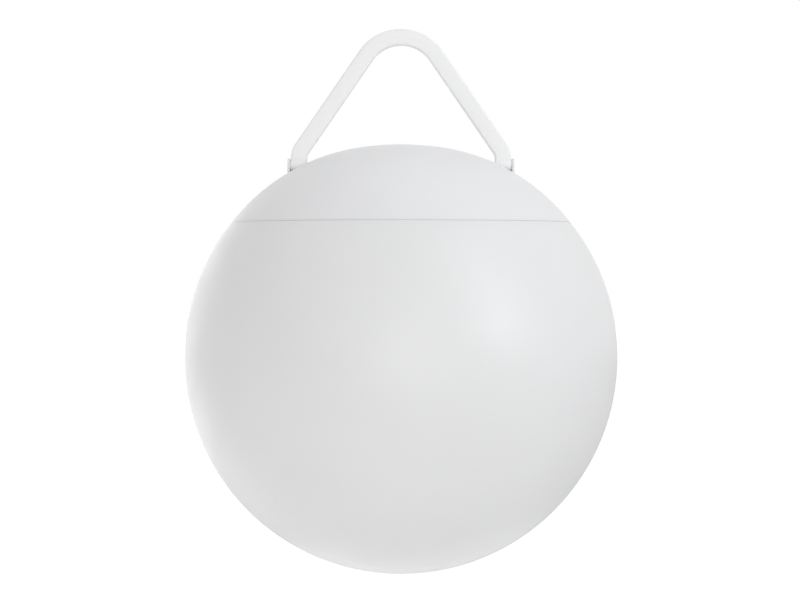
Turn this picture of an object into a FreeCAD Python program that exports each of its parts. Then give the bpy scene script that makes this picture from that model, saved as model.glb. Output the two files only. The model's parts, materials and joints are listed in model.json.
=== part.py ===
import FreeCAD, Part
import math
import os

# A cordless globe light that hangs by a strap handle. Sizes are in millimetres.
# Heights are worked out from the centre of the globe. At the end the whole light is lowered,
# so that the origin lies where a hook carries the handle, under the crown of its bend.

V = FreeCAD.Vector

# A cutting solid runs PAST the face that it opens, and fused pieces overlap by SHARED. Edges shorter
# than TINY count as points. MITRE is the pipe setting that keeps a wire's corners sharp.
PAST = 1.0
SHARED = 0.5
TINY = 1e-6
MITRE = 1

# Globe
GLOBE_DIAMETER = 300.0
GLOBE_WALL = 2.4
SEAM_DIAMETER = 235.0
SEAM_GAP = 0.5
EDGE_ROUNDING = 6.0
LEDGE_WIDTH = 14.5
LEDGE_THICKNESS = 2.6

# Top cover
COVER_WALL = 2.2
CROWN_DROP = 2.5
CROWN_RADIUS = 193.0
CROWN_SPREAD = 30.0
SKIRT_WALL = 2.2
SKIRT_CLEARANCE = 0.6
SKIRT_BELOW_LUG = 1.5
WEB_COUNT = 12
WEB_REACH = 14.0
WEB_THICKNESS = 1.6

# Twist lock between cover and globe
LUG_COUNT = 3
LUG_ANGLE = 16.0
LUG_REACH = 4.2
LUG_THICKNESS = 3.0
LUG_GAP = 0.35
LUG_RAMP = 1.6
TWIST_ANGLE = 24.0
NOTCH_SIDE_ANGLE = 0.8
STOP_ANGLE = 2.0
STOP_HEIGHT = 3.4

# Seal under the cover
SEAL_WIDTH = 3.0
SEAL_THICKNESS = 1.6
SEAL_WALL_GAP = 0.3
SEAL_GAP = 0.3
SEAL_LAND_MARGIN = 0.4

# Handle
HANDLE_HALF_SPAN = 70.9
HANDLE_RISE = 61.7
HANDLE_CORNER = 6.6
STRAP_WIDTH = 11.3
STRAP_DEPTH = 7.0
STRAP_EDGE = 1.5
APEX_INNER_RADIUS = 21.5
BEND_RADIUS = 12.0
EYE_RADIUS = 4.3
SWING_ANGLE = 45.0

# Handle pivots
PIVOT_RISE = 1.2
PIN_RADIUS = 1.75
PIN_RUNNING_GAP = 0.08
PIN_PRESS_GAP = 0.03
PIN_END_GAP = 0.2
EAR_THICKNESS = 1.7
EAR_RADIUS = 4.9
SEAT_GAP = 0.5
SEAT_SWING_MARGIN = 3.0
SEAT_WALL = 2.0

# Electrics housing
HOUSING_RADIUS = 55.0
HOUSING_WALL = 2.0
HOUSING_CHAMFER = 7.0
HOUSING_HEIGHT = 33.0
HOUSING_CROWN_GAP = 0.8
LID_THICKNESS = 2.5
LID_RIM_HEIGHT = 3.0
LID_FIT = 0.3
GASKET_WIDTH = 1.2
GASKET_HEIGHT = 1.2
TAB_RADIUS = 5.0
TAB_REACH = 8.0
TAB_THICKNESS = 2.5
TAB_HEIGHT = 15.5
TAB_ANGLES = (90.0, 210.0, 330.0)
BOSS_RADIUS = 3.6
BOSS_INSET = 6.5
LID_SCREW_ANGLES = (20.0, 90.0, 160.0, 270.0)

# Screws: shank radius, head radius, head height
HOUSING_SCREW = (1.5, 2.9, 2.0)
LID_SCREW = (1.35, 2.6, 1.8)
BOARD_SCREW = (1.0, 1.9, 1.3)
PILOT_DEPTH = 8.0
BOARD_PILOT_DEPTH = 3.6
SCREW_END_GAP = 0.5
HEAD_CHAMFER = 0.7
PILOT_GAP = 0.05
HOLE_GAP = 0.25

# Solar panel
PANEL_SIDE = 55.0
PAD_THICKNESS = 0.8
PAD_INSET = 2.0
PANEL_BOARD = 1.2
CELL_STRIP = 0.3
RESIN_THICKNESS = 1.0
STRIP_COUNT = 4
STRIP_GAP = 1.2
STRIP_MARGIN = 3.0
PANEL_FRAME = 1.6
PANEL_FRAME_HEIGHT = 1.5
PANEL_FIT = 0.3

# Battery bay
CELL_RADIUS = 7.25
CELL_LENGTH = 49.5
CELL_NUB_RADIUS = 2.6
CELL_NUB = 1.0
CELL_EDGE = 0.6
CELL_SLACK = 0.6
BAY_WALL = 1.5
BAY_LENS_GAP = 1.05
CONTACT_THICKNESS = 0.5
SPRING_DEPTH = 3.2
LEAF_THICKNESS = 0.4
LEAF_WIDTH = 8.0
TAIL_WIDTH = 3.0
TAIL_RISE = 2.0
TAIL_SLOT_GAP = 0.5
DOOR_THICKNESS = 1.5
DOOR_LAP = 1.3
DOOR_FIT = 0.25
HINGE_RADIUS = 1.9
HINGE_PIN = 1.0
HINGE_PIN_LENGTH = 2.2
HINGE_RUNNING_GAP = 0.08
HINGE_BLOCK = 3.0
NAIL_NOTCH = 4.0

# Circuit board, lamps and lens
BOARD_BOSS_GAP = 1.9
BOARD_THICKNESS = 1.6
BOARD_HEIGHT = 7.0
BOARD_EDGE_GAP = 0.8
POST_RADIUS = 2.6
POST_PLACES = ((-32.0, 12.0), (32.0, 12.0))
LED_COUNT = 4
LED_CIRCLE = 5.5
FIRST_LED_ANGLE = 45.0
LED_SIZE = (3.5, 2.8, 1.9)
LENS_RADIUS = 13.0
LENS_WALL = 1.5
LENS_FLANGE = 2.6
LENS_DROP = 9.0
LENS_CHAMFER = 5.0
LENS_FIT = 0.2

# Components on the upper side of the board: places, then sizes
CHIP_PLACE = (-11.5, 0.0)
CHIP_SIZE = (6.0, 5.0, 1.7)
COIL_PLACE = (12.0, 0.0)
COIL_RADIUS = 4.0
COIL_WAIST_RADIUS = 3.1
COIL_HEIGHT = 4.5
COIL_FLANGE = 1.0
CAPACITOR_PLACE = (-2.0, 26.0)
CAPACITOR_RADIUS = 3.15
CAPACITOR_HEIGHT = 7.7

# Switch
SWITCH_Y = 29.0
SWITCH_BODY = (13.0, 7.0)
SWITCH_WALL = 1.5
SWITCH_LID_GAP = 0.1
SWITCH_TRAVEL = 3.0
KNOB_SIDE = 3.4
KNOB_DROP = 1.8
KNOB_GAP = 0.3
KNOB_TOP_GAP = 0.5
KNOB_GROOVES = 3
GROOVE_WIDTH = 0.5

# Leads
LEAD_RADIUS = 0.6
LEAD_SPACING = 3.0
LEAD_HOLE_RADIUS = 3.0
SOLAR_LEAD_Y = 10.0
SOLAR_LEAD_STEP = 6.0
BATTERY_LEAD_RISE = 5.0
BATTERY_LEAD_STEP = 3.0
BATTERY_LEAD_LANDING = 4.0

# Heights and radii that follow from the sizes above
GLOBE_RADIUS = GLOBE_DIAMETER / 2
SEAM_RADIUS = SEAM_DIAMETER / 2
SEAM_Z = math.sqrt(GLOBE_RADIUS ** 2 - SEAM_RADIUS ** 2)
RIM_Z = SEAM_Z + SEAM_GAP / 2
LEDGE_Z = SEAM_Z - SEAM_GAP / 2
LEDGE_UNDER = LEDGE_Z - LEDGE_THICKNESS
MOUTH_RADIUS = SEAM_RADIUS - LEDGE_WIDTH
SKIRT_RADIUS = MOUTH_RADIUS - SKIRT_CLEARANCE
LUG_TOP = LEDGE_UNDER - LUG_GAP
LUG_RADIUS = SKIRT_RADIUS + LUG_REACH
SKIRT_FOOT = LUG_TOP - LUG_THICKNESS - SKIRT_BELOW_LUG
CROWN_Z = GLOBE_RADIUS - CROWN_DROP


def cover_arcs():
    """Centre of the shoulder arc, its radius, and the angle where the crown arc hands over to it."""
    hand_over = math.asin(CROWN_SPREAD / CROWN_RADIUS)
    crown_centre = V(0, 0, CROWN_Z - CROWN_RADIUS)
    toward = V(math.sin(hand_over), 0, math.cos(hand_over))
    rim = V(SEAM_RADIUS, 0, SEAM_Z) - crown_centre
    shift = (rim.dot(rim) - CROWN_RADIUS ** 2) / (2 * (rim.dot(toward) - CROWN_RADIUS))
    return crown_centre + toward * shift, CROWN_RADIUS - shift, hand_over


SHOULDER_CENTRE, SHOULDER_RADIUS, HAND_OVER = cover_arcs()


def cover_height(radius, depth=0.0):
    """Height of the cover's surface at a radius from the axis, a depth below its outer face."""
    if radius < (CROWN_RADIUS - depth) * math.sin(HAND_OVER):
        return CROWN_Z - CROWN_RADIUS + math.sqrt((CROWN_RADIUS - depth) ** 2 - radius ** 2)
    reach = radius - SHOULDER_CENTRE.x
    return SHOULDER_CENTRE.z + math.sqrt((SHOULDER_RADIUS - depth) ** 2 - reach ** 2)


def cover_radius(height, depth=0.0):
    """Radius of the cover's side at a height, a depth below its outer face."""
    rise = height - SHOULDER_CENTRE.z
    return SHOULDER_CENTRE.x + math.sqrt((SHOULDER_RADIUS - depth) ** 2 - rise ** 2)


SEAL_FOOT = LEDGE_Z + SEAL_GAP
SEAL_TOP = SEAL_FOOT + SEAL_THICKNESS
SEAL_OUTER = cover_radius(SEAL_TOP, COVER_WALL) - SEAL_WALL_GAP
SEAL_INNER = SEAL_OUTER - SEAL_WIDTH
PIVOT_Z = cover_height(HANDLE_HALF_SPAN) + PIVOT_RISE
APEX_Z = PIVOT_Z + HANDLE_RISE
HANG_Z = APEX_Z + APEX_INNER_RADIUS
SEAT_HALF_WIDTH = STRAP_WIDTH / 2 + SEAT_GAP
EAR_INNER = HANDLE_HALF_SPAN + SEAT_HALF_WIDTH
EAR_OUTER = EAR_INNER + EAR_THICKNESS
SEAT_INNER = HANDLE_HALF_SPAN - SEAT_HALF_WIDTH

LID_SCREW_CIRCLE = HOUSING_RADIUS - BOSS_INSET
TAB_CIRCLE = HOUSING_RADIUS + TAB_REACH
BOARD_RADIUS = LID_SCREW_CIRCLE - BOSS_RADIUS - BOARD_BOSS_GAP
PANEL_STACK = PAD_THICKNESS + PANEL_BOARD + CELL_STRIP + RESIN_THICKNESS
PANEL_CORNER = PANEL_SIDE / math.sqrt(2)
HOUSING_TOP = cover_height(PANEL_CORNER, COVER_WALL) - HOUSING_CROWN_GAP - PANEL_STACK
HOUSING_ROOF = HOUSING_TOP - HOUSING_WALL
LID_Z = HOUSING_TOP - HOUSING_HEIGHT
LID_TOP = LID_Z + LID_THICKNESS
TAB_Z = LID_Z + TAB_HEIGHT
BOARD_Z = LID_Z + BOARD_HEIGHT
BOARD_TOP = BOARD_Z + BOARD_THICKNESS

CELL_Z = LID_Z + DOOR_THICKNESS + CELL_SLACK + CELL_RADIUS
BAY_HALF_LENGTH = (CELL_LENGTH + CELL_NUB + CONTACT_THICKNESS + SPRING_DEPTH) / 2
BAY_HALF_WIDTH = CELL_RADIUS + CELL_SLACK
BAY_ROOF = CELL_Z + CELL_RADIUS + CELL_SLACK
BAY_BACK = -(LENS_RADIUS + LENS_FLANGE + BAY_LENS_GAP + BAY_WALL)
CELL_Y = BAY_BACK - BAY_HALF_WIDTH
BAY_FRONT = CELL_Y - BAY_HALF_WIDTH
TAIL_TOP = BAY_ROOF + BAY_WALL + TAIL_RISE
HINGE_X = BAY_HALF_LENGTH + DOOR_LAP + HINGE_RADIUS
HINGE_Z = LID_Z + HINGE_RADIUS


def box(x0, x1, y0, y1, z0, z1):
    return Part.makeBox(x1 - x0, y1 - y0, z1 - z0, V(x0, y0, z0))


def post(radius, z0, z1, x=0.0, y=0.0):
    return Part.makeCylinder(radius, z1 - z0, V(x, y, z0))


def rod(radius, x0, x1, y, z):
    return Part.makeCylinder(radius, x1 - x0, V(x0, y, z), V(1, 0, 0))


def ring(inner, outer, z0, z1):
    return post(outer, z0, z1).cut(post(inner, z0, z1))


def join(shapes):
    return shapes[0].multiFuse(shapes[1:]).removeSplitter()


def polar(radius, degrees):
    angle = math.radians(degrees)
    return radius * math.cos(angle), radius * math.sin(angle)


def turned(shape, degrees):
    copy = shape.copy()
    copy.rotate(V(0, 0, 0), V(0, 0, 1), degrees)
    return copy


def line(start, end):
    return Part.LineSegment(start, end).toShape()


def arc(centre, radius, start, end):
    """Arc in the XZ plane between two angles, in degrees from +X towards +Z."""
    points = []
    for angle in (start, (start + end) / 2, end):
        dx, dz = polar(radius, angle)
        points.append(V(centre.x + dx, 0, centre.z + dz))
    return Part.Arc(*points).toShape()


def revolved(edges):
    face = Part.Face(Part.Wire(Part.__sortEdges__(edges)))
    return face.revolve(V(0, 0, 0), V(0, 0, 1), 360)


def turned_solid(corners):
    """Solid of revolution from the corners of its outline, as (radius, height) pairs."""
    points = [V(radius, 0, height) for radius, height in corners]
    face = Part.Face(Part.makePolygon(points + points[:1]))
    return face.revolve(V(0, 0, 0), V(0, 0, 1), 360)


def ends(edge):
    return edge.Vertexes[0].Point, edge.Vertexes[-1].Point


def both_sides(shape):
    return [shape, shape.mirror(V(0, 0, 0), V(1, 0, 0))]


def lug_sector(inner, outer, z0, z1, middle, width):
    """Block that follows the mouth, between two radii and two heights, width degrees long."""
    corners = [V(inner, 0, z0), V(outer, 0, z0), V(outer, 0, z1), V(inner, 0, z1), V(inner, 0, z0)]
    face = Part.Face(Part.makePolygon(corners))
    return turned(face.revolve(V(0, 0, 0), V(0, 0, 1), width), middle - width / 2)


def lug_middles():
    return [90.0 + i * 360.0 / LUG_COUNT for i in range(LUG_COUNT)]


def globe_shell():
    """Blown globe: one wall thickness, a rounded edge and an in-turned ledge with three notches."""
    round_z = LEDGE_Z - EDGE_ROUNDING
    round_x = math.sqrt((GLOBE_RADIUS - EDGE_ROUNDING) ** 2 - round_z ** 2)
    edge_angle = math.degrees(math.atan2(round_z, round_x))
    inner_radius = GLOBE_RADIUS - GLOBE_WALL
    inner_angle = math.degrees(math.asin(LEDGE_UNDER / inner_radius))
    centre = V(0, 0, 0)
    outer = arc(centre, GLOBE_RADIUS, -90, edge_angle)
    edge = arc(V(round_x, 0, round_z), EDGE_ROUNDING, edge_angle, 90)
    inner = arc(centre, inner_radius, -90, inner_angle)
    lip_top = V(MOUTH_RADIUS, 0, LEDGE_Z)
    lip_foot = V(MOUTH_RADIUS, 0, LEDGE_UNDER)
    profile = [outer, edge, line(V(round_x, 0, LEDGE_Z), lip_top), line(lip_top, lip_foot),
               line(lip_foot, ends(inner)[1]), inner, line(ends(inner)[0], ends(outer)[0])]
    shell = revolved(profile)
    notches = []
    stops = []
    notch_width = LUG_ANGLE + 2 * NOTCH_SIDE_ANGLE
    for middle in lug_middles():
        notch_at = middle - TWIST_ANGLE
        notches.append(lug_sector(MOUTH_RADIUS - PAST, LUG_RADIUS + SKIRT_CLEARANCE, LEDGE_UNDER - PAST,
                                  LEDGE_Z + PAST, notch_at, notch_width))
        beyond = notch_width / 2 + STOP_ANGLE / 2
        for stop_at in (middle + beyond, notch_at - beyond):
            stops.append(lug_sector(MOUTH_RADIUS, LUG_RADIUS, LEDGE_UNDER - STOP_HEIGHT,
                                    LEDGE_UNDER, stop_at, STOP_ANGLE))
    return join([shell] + stops).cut(Part.makeCompound(notches))


def cover_dome(depth, foot):
    """Solid dome under the cover's outer face, or a depth inside it, closed by a disc at its foot."""
    crown_centre = V(0, 0, CROWN_Z - CROWN_RADIUS)
    hand_over = 90 - math.degrees(HAND_OVER)
    shoulder = SHOULDER_RADIUS - depth
    rim_angle = math.degrees(math.asin((RIM_Z - SHOULDER_CENTRE.z) / shoulder))
    crown = arc(crown_centre, CROWN_RADIUS - depth, 90, hand_over)
    side = arc(SHOULDER_CENTRE, shoulder, hand_over, rim_angle)
    rim = ends(side)[1]
    foot_corner = V(rim.x, 0, foot)
    foot_middle = V(0, 0, foot)
    return revolved([crown, side, line(rim, foot_corner), line(foot_corner, foot_middle),
                     line(foot_middle, ends(crown)[0])])


def seat_profile(radius, offset):
    """Outline across a handle seat: a round floor under the eye and a ramp for each way it swings."""
    swing = math.radians(SWING_ANGLE + SEAT_SWING_MARGIN)
    reach = 3 * EYE_RADIUS
    along = V(0, math.sin(swing), math.cos(swing)) * reach
    across = V(0, math.cos(swing), -math.sin(swing)) * offset
    top = V(0, 0, reach * 2)
    near = V(0, 0, -offset / math.sin(swing))
    right = along + across
    left = V(0, -right.y, right.z)
    upper_right = V(0, right.y, top.z)
    upper_left = V(0, -right.y, top.z)
    corners = [near, right, upper_right, upper_left, left, near]
    wedge = Part.Face(Part.makePolygon(corners))
    wedge.translate(V(SEAT_INNER - SEAT_WALL, 0, PIVOT_Z))
    length = EAR_OUTER - SEAT_INNER + SEAT_WALL
    prism = wedge.extrude(V(length, 0, 0))
    return prism.fuse(rod(radius, SEAT_INNER - SEAT_WALL, EAR_OUTER, 0, PIVOT_Z)).removeSplitter()


def handle_seats():
    """Walls of the two handle seats, and the spaces that are cut through the dome for the handle."""
    clear = STRAP_DEPTH / 2 + SEAT_GAP
    walls = seat_profile(EYE_RADIUS + SEAT_GAP + SEAT_WALL, clear + SEAT_WALL)
    space = seat_profile(EYE_RADIUS + SEAT_GAP, clear)
    space = space.common(box(SEAT_INNER, EAR_INNER, -GLOBE_RADIUS, GLOBE_RADIUS, 0, HANG_Z))
    return both_sides(walls), both_sides(space)


def handle_ears():
    """Thin rounded plate outside each seat, which carries the outer end of the pin."""
    plate = rod(EAR_RADIUS, EAR_INNER, EAR_OUTER, 0, PIVOT_Z)
    foot = PIVOT_Z - EYE_RADIUS - SEAT_GAP - SEAT_WALL
    stem = box(EAR_INNER, EAR_OUTER, -EAR_RADIUS, EAR_RADIUS, foot, PIVOT_Z)
    return both_sides(plate.fuse(stem))


def cover_lugs():
    """Hooks of the twist lock, each with a ramp on the edge that goes in first."""
    lugs = []
    for middle in lug_middles():
        foot = LUG_TOP - LUG_THICKNESS
        lug = lug_sector(SKIRT_RADIUS - SKIRT_WALL / 2, LUG_RADIUS, foot, LUG_TOP, 0, LUG_ANGLE)
        ramp_length = LUG_RADIUS * math.radians(LUG_ANGLE) / 3
        low = V(0, -PAST, LUG_TOP - LUG_RAMP)
        corners = [low, V(0, ramp_length, LUG_TOP), V(0, -PAST, LUG_TOP + PAST), low]
        ramp = Part.Face(Part.makePolygon(corners))
        cut = ramp.extrude(V(2 * LUG_REACH, 0, 0))
        cut.rotate(V(0, 0, 0), V(0, 0, 1), -LUG_ANGLE / 2)
        shift_x, shift_y = polar(SKIRT_RADIUS, -LUG_ANGLE / 2)
        cut.translate(V(shift_x, shift_y, 0))
        lugs.append(turned(lug.cut(cut), middle))
    return lugs


def cover_webs():
    """Thin gussets that stiffen the skirt against the underside of the dome."""
    webs = []
    outer = SKIRT_RADIUS - SKIRT_WALL / 2
    inner = SKIRT_RADIUS - SKIRT_WALL - WEB_REACH
    corners = [V(outer, 0, RIM_Z), V(outer, 0, CROWN_Z), V(inner, 0, CROWN_Z),
               V(inner, 0, cover_height(inner, COVER_WALL)), V(outer, 0, RIM_Z)]
    web = Part.Face(Part.makePolygon(corners)).extrude(V(0, WEB_THICKNESS, 0))
    web.translate(V(0, -WEB_THICKNESS / 2, 0))
    for i in range(WEB_COUNT):
        webs.append(turned(web, (i + 0.5) * 360.0 / WEB_COUNT))
    return webs


def top_cover():
    """Opal cover: dome, skirt with hooks, seal groove, handle seats and ears, webs and bosses."""
    envelope = cover_dome(0, SKIRT_FOOT)
    above_rim = post(SEAM_RADIUS + PAST, RIM_Z, CROWN_Z + PAST)
    dome = envelope.common(above_rim).cut(cover_dome(COVER_WALL, SKIRT_FOOT))
    inside = [ring(SKIRT_RADIUS - SKIRT_WALL, SKIRT_RADIUS, SKIRT_FOOT, CROWN_Z)]
    inside.append(ring(SEAL_INNER - SEAL_LAND_MARGIN, SEAL_OUTER, SEAL_TOP, CROWN_Z))
    for angle in TAB_ANGLES:
        x, y = polar(TAB_CIRCLE, angle)
        inside.append(post(BOSS_RADIUS, TAB_Z, CROWN_Z, x, y))
    inside += cover_webs()
    walls, spaces = handle_seats()
    inside += walls
    inside = join(inside).common(cover_dome(COVER_WALL / 2, SKIRT_FOOT))
    cover = join([dome, inside] + cover_lugs() + handle_ears())
    cuts = list(spaces)
    pin_hole = rod(PIN_RADIUS + PIN_PRESS_GAP, SEAT_INNER - SEAT_WALL / 2, EAR_OUTER + PAST, 0, PIVOT_Z)
    cuts += both_sides(pin_hole)
    for angle in TAB_ANGLES:
        x, y = polar(TAB_CIRCLE, angle)
        cuts.append(post(HOUSING_SCREW[0] + PILOT_GAP, TAB_Z - PAST, TAB_Z + PILOT_DEPTH, x, y))
    for cut in cuts:
        cover = cover.cut(cut)
    return cover.removeSplitter()


def pivot_pins():
    start = SEAT_INNER - SEAT_WALL / 2 + PIN_END_GAP
    pin = rod(PIN_RADIUS, start, EAR_OUTER - PIN_END_GAP, 0, PIVOT_Z)
    return Part.makeCompound(both_sides(pin))


def cover_seal():
    return ring(SEAL_INNER, SEAL_OUTER, SEAL_FOOT, SEAL_TOP)


def strap_edges(offset):
    """Right half of one edge of the bent strap, from its crown to its lower end."""
    middle_radius = APEX_INNER_RADIUS + STRAP_WIDTH / 2
    corner_drop = HANDLE_RISE - HANDLE_CORNER
    reach = math.hypot(HANDLE_HALF_SPAN, corner_drop)
    lean = math.acos(middle_radius / reach) - math.atan2(corner_drop, HANDLE_HALF_SPAN)
    lean_angle = math.degrees(lean)
    apex = V(0, 0, APEX_Z)
    bend_start = PIVOT_Z + HANDLE_CORNER - BEND_RADIUS * math.tan(lean / 2)
    bend = V(HANDLE_HALF_SPAN - BEND_RADIUS, 0, bend_start)
    crown = arc(apex, middle_radius + offset, 90, lean_angle)
    elbow = arc(bend, BEND_RADIUS + offset, lean_angle, 0)
    foot = V(HANDLE_HALF_SPAN + offset, 0, PIVOT_Z)
    return [crown, line(ends(crown)[1], ends(elbow)[0]), elbow, line(ends(elbow)[1], foot)]


def carry_handle():
    """Bent strap with rounded edges and a round eye at each end."""
    right = strap_edges(STRAP_WIDTH / 2) + strap_edges(-STRAP_WIDTH / 2)
    right.append(line(V(HANDLE_HALF_SPAN - STRAP_WIDTH / 2, 0, PIVOT_Z),
                      V(HANDLE_HALF_SPAN + STRAP_WIDTH / 2, 0, PIVOT_Z)))
    edges = right + [edge.mirror(V(0, 0, 0), V(1, 0, 0)) for edge in right]
    face = Part.Face(Part.Wire(Part.__sortEdges__(edges)))
    face.translate(V(0, -STRAP_DEPTH / 2, 0))
    strap = face.extrude(V(0, STRAP_DEPTH, 0)).removeSplitter()
    long_edges = [edge for edge in strap.Edges if abs(abs(edge.BoundBox.YMin) - STRAP_DEPTH / 2) < TINY
                  and edge.BoundBox.YLength < TINY and edge.BoundBox.ZMax > PIVOT_Z + TINY]
    strap = strap.makeFillet(STRAP_EDGE, long_edges)
    eye = rod(EYE_RADIUS, HANDLE_HALF_SPAN - STRAP_WIDTH / 2, HANDLE_HALF_SPAN + STRAP_WIDTH / 2,
              0, PIVOT_Z)
    handle = join([strap] + both_sides(eye))
    hole = rod(PIN_RADIUS + PIN_RUNNING_GAP, 0, EAR_OUTER, 0, PIVOT_Z)
    for cut in both_sides(hole):
        handle = handle.cut(cut)
    return handle


def housing_body(radius, roof, chamfer):
    """Solid can with a chamfered shoulder, from the lid's upper face to the roof."""
    return turned_solid([(0, LID_TOP), (radius, LID_TOP), (radius, roof - chamfer),
                         (radius - chamfer, roof), (0, roof)])


def module_housing():
    """Can with screw tabs, bosses for the lid's screws, and a frame for the solar panel."""
    outer = housing_body(HOUSING_RADIUS, HOUSING_TOP, HOUSING_CHAMFER)
    inner_radius = HOUSING_RADIUS - HOUSING_WALL
    inner_chamfer = HOUSING_CHAMFER - HOUSING_WALL * (2 - math.sqrt(2))
    inner = housing_body(inner_radius, HOUSING_ROOF, inner_chamfer)
    bosses = []
    for angle in LID_SCREW_ANGLES:
        x, y = polar(LID_SCREW_CIRCLE, angle)
        bosses.append(post(BOSS_RADIUS, LID_TOP, HOUSING_TOP, x, y))
    tabs = []
    for angle in TAB_ANGLES:
        arm = box(inner_radius, TAB_CIRCLE, -TAB_RADIUS, TAB_RADIUS, TAB_Z - TAB_THICKNESS, TAB_Z)
        tab = arm.fuse(post(TAB_RADIUS, TAB_Z - TAB_THICKNESS, TAB_Z, TAB_CIRCLE, 0))
        hole = post(HOUSING_SCREW[0] + HOLE_GAP, LID_Z, TAB_Z + PAST, TAB_CIRCLE, 0)
        tabs.append(turned(tab.cut(hole), angle))
    half = PANEL_SIDE / 2 + PANEL_FIT
    wide = half + PANEL_FRAME
    frame = box(-wide, wide, -wide, wide, HOUSING_TOP - SHARED, HOUSING_TOP + PANEL_FRAME_HEIGHT)
    frame = frame.cut(box(-half, half, -half, half, HOUSING_TOP, HOUSING_TOP + PANEL_FRAME_HEIGHT + PAST))
    housing = join([outer.cut(inner), join(bosses).common(outer), frame] + tabs)
    for angle in LID_SCREW_ANGLES:
        x, y = polar(LID_SCREW_CIRCLE, angle)
        pilot = post(LID_SCREW[0] + PILOT_GAP, LID_TOP - PAST, LID_TOP + PILOT_DEPTH, x, y)
        housing = housing.cut(pilot)
    lead_hole = post(LEAD_HOLE_RADIUS, HOUSING_ROOF - PAST, HOUSING_TOP + PAST, 0, SOLAR_LEAD_Y)
    return housing.cut(lead_hole).removeSplitter()


def bay_walls():
    x = BAY_HALF_LENGTH + BAY_WALL
    return box(-x, x, BAY_FRONT - BAY_WALL, BAY_BACK + BAY_WALL, LID_Z, BAY_ROOF + BAY_WALL)


def door_outline(gap, z0, z1):
    x = BAY_HALF_LENGTH + DOOR_LAP + gap
    y0 = BAY_FRONT - DOOR_LAP - gap
    y1 = BAY_BACK + DOOR_LAP + gap
    return box(-x, HINGE_X, y0, y1, z0, z1)


def hinge_rod(radius, extra):
    """Rod along the door's hinge line, longer than the door by extra at each end."""
    y0 = BAY_FRONT - DOOR_LAP - extra
    length = 2 * (BAY_HALF_WIDTH + DOOR_LAP + extra)
    return Part.makeCylinder(radius, length, V(HINGE_X, y0, HINGE_Z), V(0, 1, 0))


def module_lid():
    """Base of the housing, with the battery bay, the lens hole, the switch slot and board posts."""
    plate = post(HOUSING_RADIUS, LID_Z, LID_TOP)
    rim_radius = HOUSING_RADIUS - HOUSING_WALL - LID_FIT
    rim = ring(rim_radius - HOUSING_WALL, rim_radius, LID_Z, LID_TOP + LID_RIM_HEIGHT)
    for angle in LID_SCREW_ANGLES:
        x, y = polar(LID_SCREW_CIRCLE, angle)
        rim = rim.cut(post(BOSS_RADIUS + LID_FIT, LID_TOP, LID_TOP + LID_RIM_HEIGHT + PAST, x, y))
    hinge_top = HINGE_Z + HINGE_RADIUS + HINGE_RUNNING_GAP + BAY_WALL
    block_y0 = BAY_FRONT - DOOR_LAP - HINGE_PIN_LENGTH - BAY_WALL
    block_y1 = BAY_BACK + DOOR_LAP + HINGE_PIN_LENGTH + BAY_WALL
    block = box(BAY_HALF_LENGTH, HINGE_X + HINGE_BLOCK + BAY_WALL, block_y0, block_y1, LID_Z, hinge_top)
    block = block.common(post(rim_radius, LID_Z, hinge_top))
    posts = [post(POST_RADIUS, LID_Z, BOARD_Z, x, y) for x, y in POST_PLACES]
    lid = join([plate, rim, bay_walls(), block] + posts)
    below = LID_Z - PAST
    cuts = [box(-BAY_HALF_LENGTH, BAY_HALF_LENGTH, BAY_FRONT, BAY_BACK, below, BAY_ROOF)]
    cuts.append(door_outline(DOOR_FIT, below, LID_Z + DOOR_THICKNESS + DOOR_FIT))
    slot_x = HINGE_RADIUS + DOOR_FIT
    slot_y0 = BAY_FRONT - DOOR_LAP - DOOR_FIT
    slot_y1 = BAY_BACK + DOOR_LAP + DOOR_FIT
    slot_top = HINGE_Z + slot_x
    cuts.append(box(HINGE_X - slot_x, HINGE_X + slot_x, slot_y0, slot_y1, below, slot_top))
    cuts.append(hinge_rod(HINGE_PIN + HINGE_RUNNING_GAP, HINGE_PIN_LENGTH + DOOR_FIT))
    cuts.append(post(LENS_RADIUS + LENS_FIT, below, LID_TOP + PAST))
    slot = KNOB_SIDE / 2 + SWITCH_TRAVEL / 2 + KNOB_GAP
    knob = KNOB_SIDE / 2 + KNOB_GAP
    cuts.append(box(-slot, slot, SWITCH_Y - knob, SWITCH_Y + knob, below, LID_TOP + PAST))
    gasket_outer = HOUSING_RADIUS - (HOUSING_WALL - GASKET_WIDTH) / 2
    groove_foot = LID_TOP - GASKET_HEIGHT
    cuts.append(ring(gasket_outer - GASKET_WIDTH, gasket_outer, groove_foot, LID_TOP + PAST))
    for x, y in POST_PLACES:
        pilot_foot = BOARD_Z - BOARD_PILOT_DEPTH
        cuts.append(post(BOARD_SCREW[0] + PILOT_GAP, pilot_foot, BOARD_Z + PAST, x, y))
    for angle in LID_SCREW_ANGLES:
        x, y = polar(LID_SCREW_CIRCLE, angle)
        cuts.append(post(LID_SCREW[0] + HOLE_GAP, below, LID_TOP + PAST, x, y))
    tail_x = CONTACT_THICKNESS + TAIL_SLOT_GAP
    tail_y = TAIL_WIDTH / 2 + TAIL_SLOT_GAP
    for x in (-BAY_HALF_LENGTH, BAY_HALF_LENGTH):
        cuts.append(box(x - tail_x, x + tail_x, CELL_Y - tail_y, CELL_Y + tail_y,
                        BAY_ROOF - PAST, BAY_ROOF + BAY_WALL + PAST))
    for cut in cuts:
        lid = lid.cut(cut)
    return lid.removeSplitter()


def module_seal():
    outer = HOUSING_RADIUS - (HOUSING_WALL - GASKET_WIDTH) / 2
    return ring(outer - GASKET_WIDTH, outer, LID_TOP - GASKET_HEIGHT, LID_TOP)


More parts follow.
